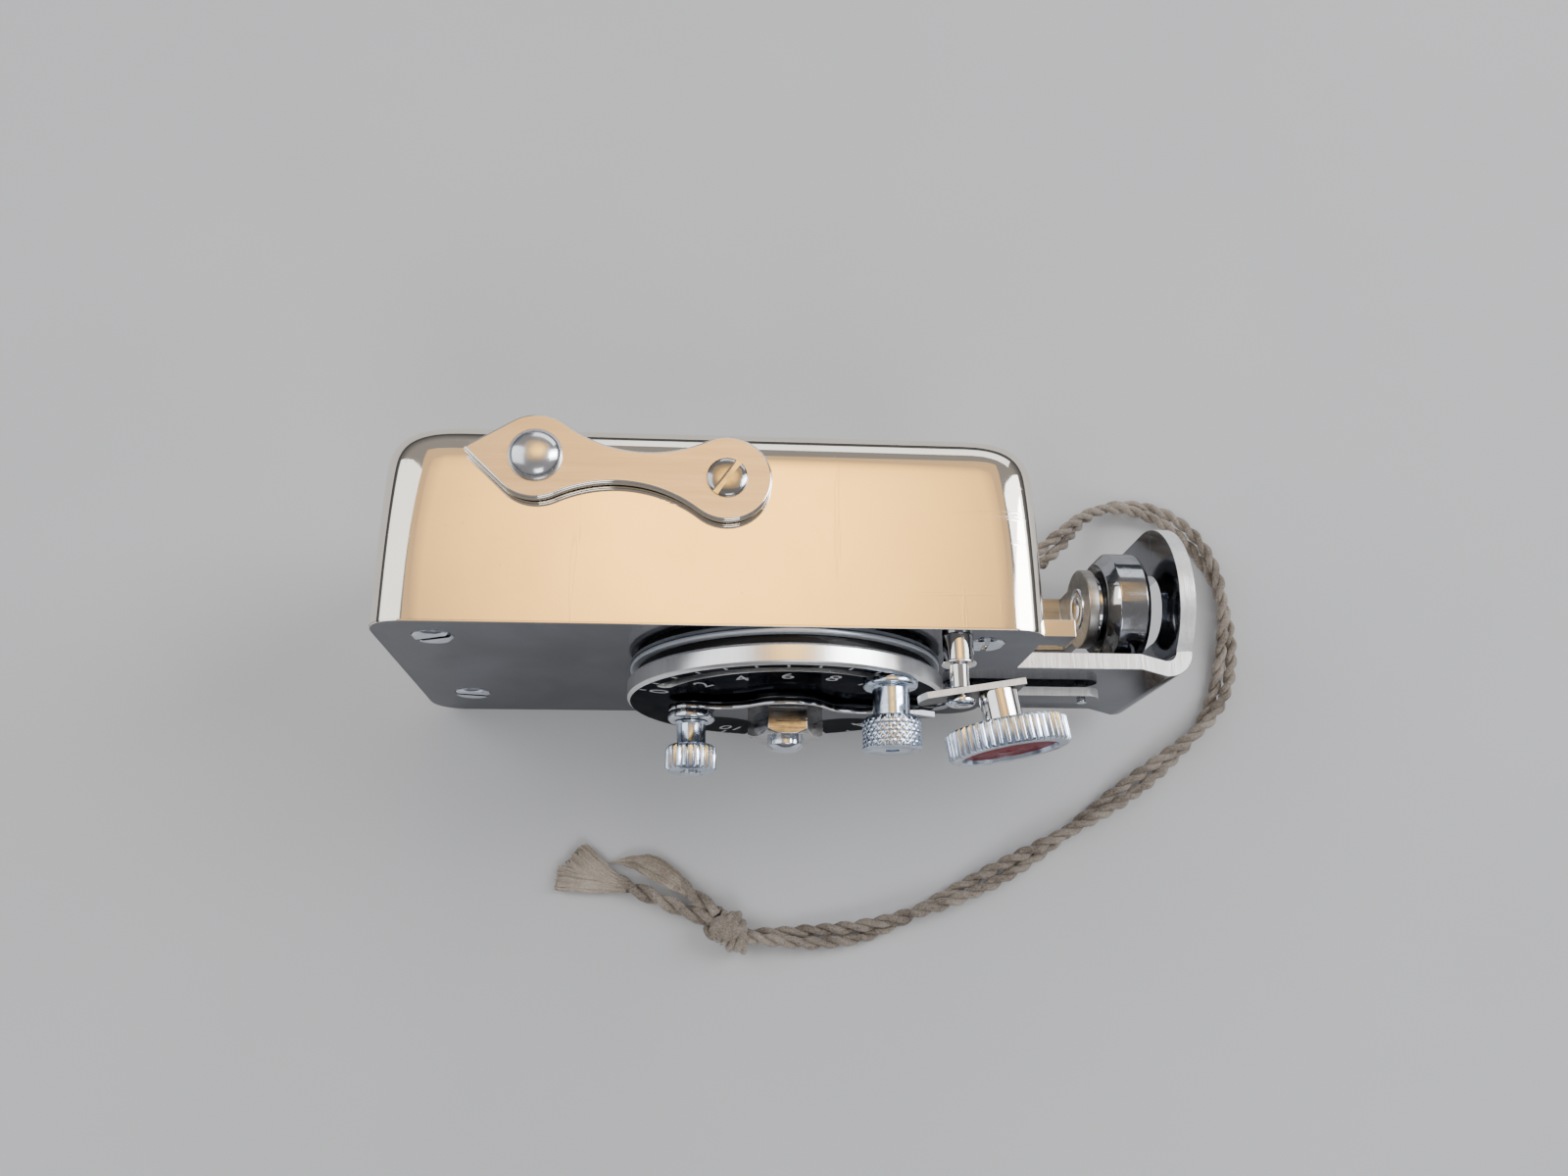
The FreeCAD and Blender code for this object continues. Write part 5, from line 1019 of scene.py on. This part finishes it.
dressed(
    "plate_and_fork", "front_plate", 0.14, plate_nickel_painted_dark_reflection, sheared_edge, case_nickel, angle=35,
    chooser=plate_faces, spared=meets_case, settle=under_cover)
dressed("pusher_bar_bent", "pusher_bar", 0.14, dull_steel, angle=30)
dressed("pusher_cup_turned", "pusher_cup", 0.1, painted_dark_cup)
dressed("winding_hand_plate", "winding_hand", 0.1, plate_nickel_painted_dark_reflection, mirror_nickel, angle=30, round_material=1)
dressed("hand_hexagon_nut", "hand_nut", 0.1, screw_nickel, mirror_nickel, round_material=1)
dressed("arbor_end", "winding_arbor", 0.06, bright_nickel, segments=2)
dressed(
    "selector_plate", "selector_lever", 0.2, satin_steel, mirror_nickel, angle=30, segments=4,
    round_material=1, chooser=top_only)
dressed(
    "start_lever_plate", "start_lever", 0.08, lever_steel, sheared_edge, angle=30, round_material=1,
    chooser=flat_only)
dressed(
    "catch_plate", "catch_lever", 0.1, plate_nickel_painted_dark_reflection, sheared_edge, angle=30, round_material=1,
    chooser=flat_only)
dressed("catch_screw_head", "catch_screw", 0.08, bright_nickel)
dressed("front_screw_heads", "case_screws", 0.06, bright_nickel)
dressed("cover_screw_head", "cover_screw", 0.06, bright_nickel)
dressed("lever_post", "lever_stud", 0.08, mirror_nickel)
dressed("lever_post_cap", "lever_cap", 0.06, bright_nickel)
dressed("dial_base_flange", "dial_flange", 0.1, flange_satin_painted_reflection)
dressed("dial_black_ring", "dial_drum", 0.12, black_lacquer)
dressed("dial_disc", "time_dial", 0.05, rim_satin, dial_dark, segments=2, chooser=dial_parts)
dressed("stop_bolt", "time_stop", 0.06, bright_nickel)
dressed("peg_pivot", "peg_post", 0.08, bright_nickel)
dressed("peg_grip", "winding_peg", 0.03, knurled_nickel, angle=20, segments=2)
dressed("start_stem_turned", "start_stem", 0.08, mirror_nickel)
dressed("start_knob_knurled", "start_knob", 0.03, knurled_nickel, angle=20, segments=2)


# Stop knob: worn cross knurls on its head

STOP_PLACE = towards_front(13.91, -8.45, 24.95)
STOP_BORE = 0.55
STOP_COLLAR = (2.15, 3.0, 3.6)
STOP_STEM = (1.45, 5.9)
STOP_HEAD = (2.3, 8.5)
STOP_SHOULDER = 0.55
STOP_SHOULDER_STEPS = 5
STOP_TOP_ROUND = 0.12
KNURLS_ROUND = 26
KNURL_LENGTH = 0.62
KNURL_DEPTH = 0.17
KNURL_WORN_TIP = 0.62
KNURL_POINTS = 8
KNURL_ROWS = 22


def cross_knurl(angle, radius, height):
    """Diamond points where two sets of slanting grooves cross, with their tips worn flat."""
    along = (height - STOP_STEM[1]) / KNURL_LENGTH
    around = angle * KNURLS_ROUND / FULL_TURN
    if along <= 0.2 or radius < STOP_COLLAR[0] - 0.1:
        return 0
    grooves = [abs((place % 1) - 0.5) * 2 for place in (around + along, around - along)]
    return (min(1 - grooves[0], 1 - grooves[1], KNURL_WORN_TIP) - KNURL_WORN_TIP) * KNURL_DEPTH


def make_stop_knob():
    collar, low, high = STOP_COLLAR
    stem, stem_end = STOP_STEM
    head, top = STOP_HEAD
    profile = [
        (STOP_BORE, low), (collar - 0.08, low), (collar, low + 0.1), (collar, high - 0.14),
        (collar - 0.06, high - 0.04), (collar - 0.16, high), (stem + 0.12, high), (stem, high + 0.12),
        (stem, stem_end - 0.1)]
    for k in range(STOP_SHOULDER_STEPS + 1):
        turn = math.pi / 2 * k / STOP_SHOULDER_STEPS
        inset = STOP_SHOULDER * (1 - math.sin(turn))
        profile.append((head - inset, stem_end + STOP_SHOULDER * (1 - math.cos(turn))))
    for k in range(1, KNURL_ROWS + 1):
        share = (top - STOP_TOP_ROUND - stem_end - STOP_SHOULDER) * k / KNURL_ROWS
        profile.append((head, stem_end + STOP_SHOULDER + share))
    profile += [(head - 0.04, top - 0.04), (head - 0.13, top), (STOP_BORE, top)]
    knob = turned_piece(
        "stop_knob_knurled", profile, STOP_PLACE, knurled_nickel, KNURLS_ROUND * KNURL_POINTS, cross_knurl)
    stand_for(settle_normals(knob), "stop_knob")


make_stop_knob()


# Numbers and strokes on the dial

DIAL_CENTRE = Vector((6.3, -11.35, 16.2))
HAND_TIP_ANGLE = -3.0
STOP_ZERO_ANGLE = 159.0
DEGREES_A_SECOND = 11.0
SECONDS = 10
INLAY = 0.012
STROKE_END = 12.95
LONG_STROKE_START = 12.0
SHORT_STROKE_START = 12.4
STROKE_WIDTH = 0.2
NUMBER_SIZE = 2.3
TIP_NUMBER_REACH = 10.7
STOP_NUMBER_REACH = 9.5
STOP_ZERO_REACH = 11.2


def dial_point(angle, reach):
    turn = math.radians(angle)
    return Vector((reach * math.cos(turn), reach * math.sin(turn), 0))


def add_number(work, text, angle, reach):
    """A number whose head looks to the rim."""
    letters = bpy.data.curves.new("dial_number", "FONT")
    letters.body = text
    letters.size = NUMBER_SIZE * MM
    letters.extrude = INLAY * MM
    letters.align_x = "CENTER"
    letters.align_y = "CENTER"
    mesh = mesh_of_curve(letters)
    place = towards_front(*DIAL_CENTRE) @ Matrix.Translation(dial_point(angle, reach))
    place = place @ Matrix.Rotation(math.radians(angle - 90), 4, "Z")
    place.translation = place.translation * MM
    mesh.transform(place)
    work.from_mesh(mesh)
    bpy.data.meshes.remove(mesh)


def add_stroke(work, angle, inner):
    """A short thin bar that points to the dial's centre and ends near the rim."""
    ahead = dial_point(angle, 1)
    side = dial_point(angle + 90, STROKE_WIDTH / 2)
    corners = [
        ahead * inner - side, ahead * STROKE_END - side, ahead * STROKE_END + side, ahead * inner + side]
    place = towards_front(*DIAL_CENTRE)
    front = [work.verts.new(place @ (corner + UP * INLAY) * MM) for corner in corners]
    rear = [work.verts.new(place @ (corner - UP * INLAY) * MM) for corner in corners]
    work.faces.new(front)
    join_rings(work, [rear, front])


def make_dial_marks():
    """One scale for the hand's tip and one for the stop, with a number at every second stroke."""
    work = bmesh.new()
    for second in range(SECONDS + 1):
        tip_angle = HAND_TIP_ANGLE - DEGREES_A_SECOND * second
        stop_angle = STOP_ZERO_ANGLE - DEGREES_A_SECOND * second
        numbered = second % 2 == 0
        add_stroke(work, tip_angle, LONG_STROKE_START if numbered else SHORT_STROKE_START)
        add_stroke(work, stop_angle, SHORT_STROKE_START)
        if numbered:
            add_number(work, str(second), tip_angle, TIP_NUMBER_REACH)
            add_number(work, str(second), stop_angle, STOP_NUMBER_REACH if second else STOP_ZERO_REACH)
    bmesh.ops.recalc_face_normals(work, faces=work.faces)
    ride_on(new_piece("dial_numbers", take_mesh("dial_numbers", work), mark_fill), "time_dial")


make_dial_marks()


# Selector's screw and dome, and the rivet in the pusher's tongue

SCREW_RADIUS = 1.6
SCREW_ARC = 0.157
SCREW_ARC_STEPS = 10
DOME_RADIUS = 2.1
DOME_BASE = 0.12
DOME_RISE = 1.08
DOME_FULLNESS = 0.9
DOME_STEPS = 14


def make_selector_screw():
    place = upwards(0.85, 3.15, 29.4, 55)
    profile = [
        (0, -1.95), (0.72, -1.95), (0.72, -1.35), (1.2, -1.35), (1.2, 1.06), (1.52, 1.06),
        (SCREW_RADIUS, 1.12)]
    for k in range(1, SCREW_ARC_STEPS + 1):
        radius = SCREW_RADIUS * math.cos(k * SCREW_ARC) if k < SCREW_ARC_STEPS else 0
        profile.append((radius, 1.2 + 0.35 * math.sin(k * SCREW_ARC)))
    screw = turned_piece("selector_screw_head", profile, place, screw_nickel)
    cut_slot(screw, place, length=4.0, width=0.52, low=1.14, high=2.0)
    stand_for(settle_normals(screw), "selector_screw")


def make_selector_dome():
    place = upwards(-13.87, 4.65, 30.45)
    profile = [(0, -0.8), (0.69, -0.8), (0.69, 0.0), (2.02, 0.0), (DOME_RADIUS, 0.06)]
    for k in range(1, DOME_STEPS):
        turn = math.pi / 2 * k / DOME_STEPS
        radius = DOME_RADIUS * math.cos(turn) ** DOME_FULLNESS
        profile.append((radius, DOME_BASE + DOME_RISE * math.sin(turn)))
    profile.append((0, DOME_BASE + DOME_RISE))
    dome = turned_piece("selector_dome_ball", profile, place, dome_nickel)
    stand_for(settle_normals(dome), "selector_dome")


def make_rivet():
    place = towards_right(33.4, -1.45, 12.9)
    profile = [
        (0, -0.13), (0.95, -0.15), (1.02, -0.11), (1.10, -0.05), (1.18, -0.11), (1.25, -0.15),
        (1.72, -0.15), (1.82, -0.12), (1.88, -0.05), (1.9, 0.0), (1.1, 0.0), (1.1, 2.9), (1.88, 2.9),
        (1.9, 2.98), (1.6, 3.25), (1.2, 3.37), (0, 3.4)]
    rivet = turned_piece("pusher_rivet_head", profile, place, bright_nickel)
    stand_for(settle_normals(rivet), "pusher_rivet")


make_selector_screw()
make_selector_dome()
make_rivet()


# Stage and light

FLOOR_HALF = 1.5
CENTRE = Vector((0.008, -0.004, 0.015))
AIR_STRENGTH = 0.35
WARM = (1.0, 0.53, 0.07)
COOL = (0.93, 0.96, 1.0)


def add_floor():
    work = bmesh.new()
    bmesh.ops.create_grid(work, x_segments=2, y_segments=2, size=FLOOR_HALF)
    material, tree, shader = new_material("pale_floor", Roughness=0.85)
    soft = noise(tree, object_place(tree), Scale=40.0, Detail=3.0).outputs["Fac"]
    colour = tint(tree, soft, (0.70, 0.70, 0.71), (0.76, 0.76, 0.77))
    feed(colour, shader, "Base Color")
    new_piece("studio_floor", take_mesh("studio_floor", work), material)


def add_light(name, place, size, power, colour, diffuse=True, fade=None):
    """A rectangular light that looks at the centre. With a fade, its rim is dimmer, as in a soft box."""
    data = bpy.data.lights.new(name, "AREA")
    data.shape = "RECTANGLE"
    data.size, data.size_y = size
    data.energy = power
    data.color = colour
    light = bpy.data.objects.new(name, data)
    light.location = place
    light.rotation_euler = (CENTRE - Vector(place)).to_track_quat("-Z", "Y").to_euler()
    light.visible_diffuse = diffuse
    link(light)
    if fade:
        data.use_nodes = True
        tree = data.node_tree
        place_on = add_node(tree, "ShaderNodeNewGeometry").outputs["Parametric"]
        from_middle = add_node(tree, "ShaderNodeVectorMath", {1: (0.5, 0.5, 0)}, operation="DISTANCE")
        feed(place_on, from_middle, 0)
        strength = ramp(tree, [(0.0, 1.0), (0.12, 0.95), (0.38, fade)], from_middle.outputs["Value"])
        emission = [node for node in tree.nodes if node.type == "EMISSION"][0]
        feed(strength, emission, "Strength")


add_floor()
add_light("warm_panel_above", (0.01, 0.21, 0.56), (0.52, 0.44), 3.0, WARM, diffuse=False, fade=0.15)
add_light("window_left", (-0.52, 0.12, 0.42), (0.50, 0.60), 1.8, COOL)
add_light("window_right", (0.51, 0.16, 0.42), (0.36, 0.46), 2.2, COOL)
add_light("bright_strip_right", (0.46, 0.16, 0.46), (0.18, 0.42), 3.0, COOL, diffuse=False)
add_light("window_back", (0.22, 0.75, 0.36), (0.8, 0.30), 1.4, COOL)
add_light("window_front", (0.12, -0.55, 0.55), (0.30, 0.30), 1.2, COOL)


def make_air():
    """Soft light from all round: warm and bright high up behind, cooler and darker low down."""
    world = bpy.data.worlds.new("studio_air")
    bpy.context.scene.world = world
    world.use_nodes = True
    tree = world.node_tree
    air = tree.nodes["Background"]
    place = add_node(tree, "ShaderNodeTexCoord").outputs["Generated"]
    split = add_node(tree, "ShaderNodeSeparateXYZ")
    feed(place, split, "Vector")
    high = ramp(tree, [(0.05, 0.0), (0.45, 1.0)], split.outputs["Z"])
    sky = tint(tree, high, (0.20, 0.22, 0.26), (0.95, 0.92, 0.90))
    feed(sky, air, "Color")
    air.inputs["Strength"].default_value = AIR_STRENGTH


make_air()
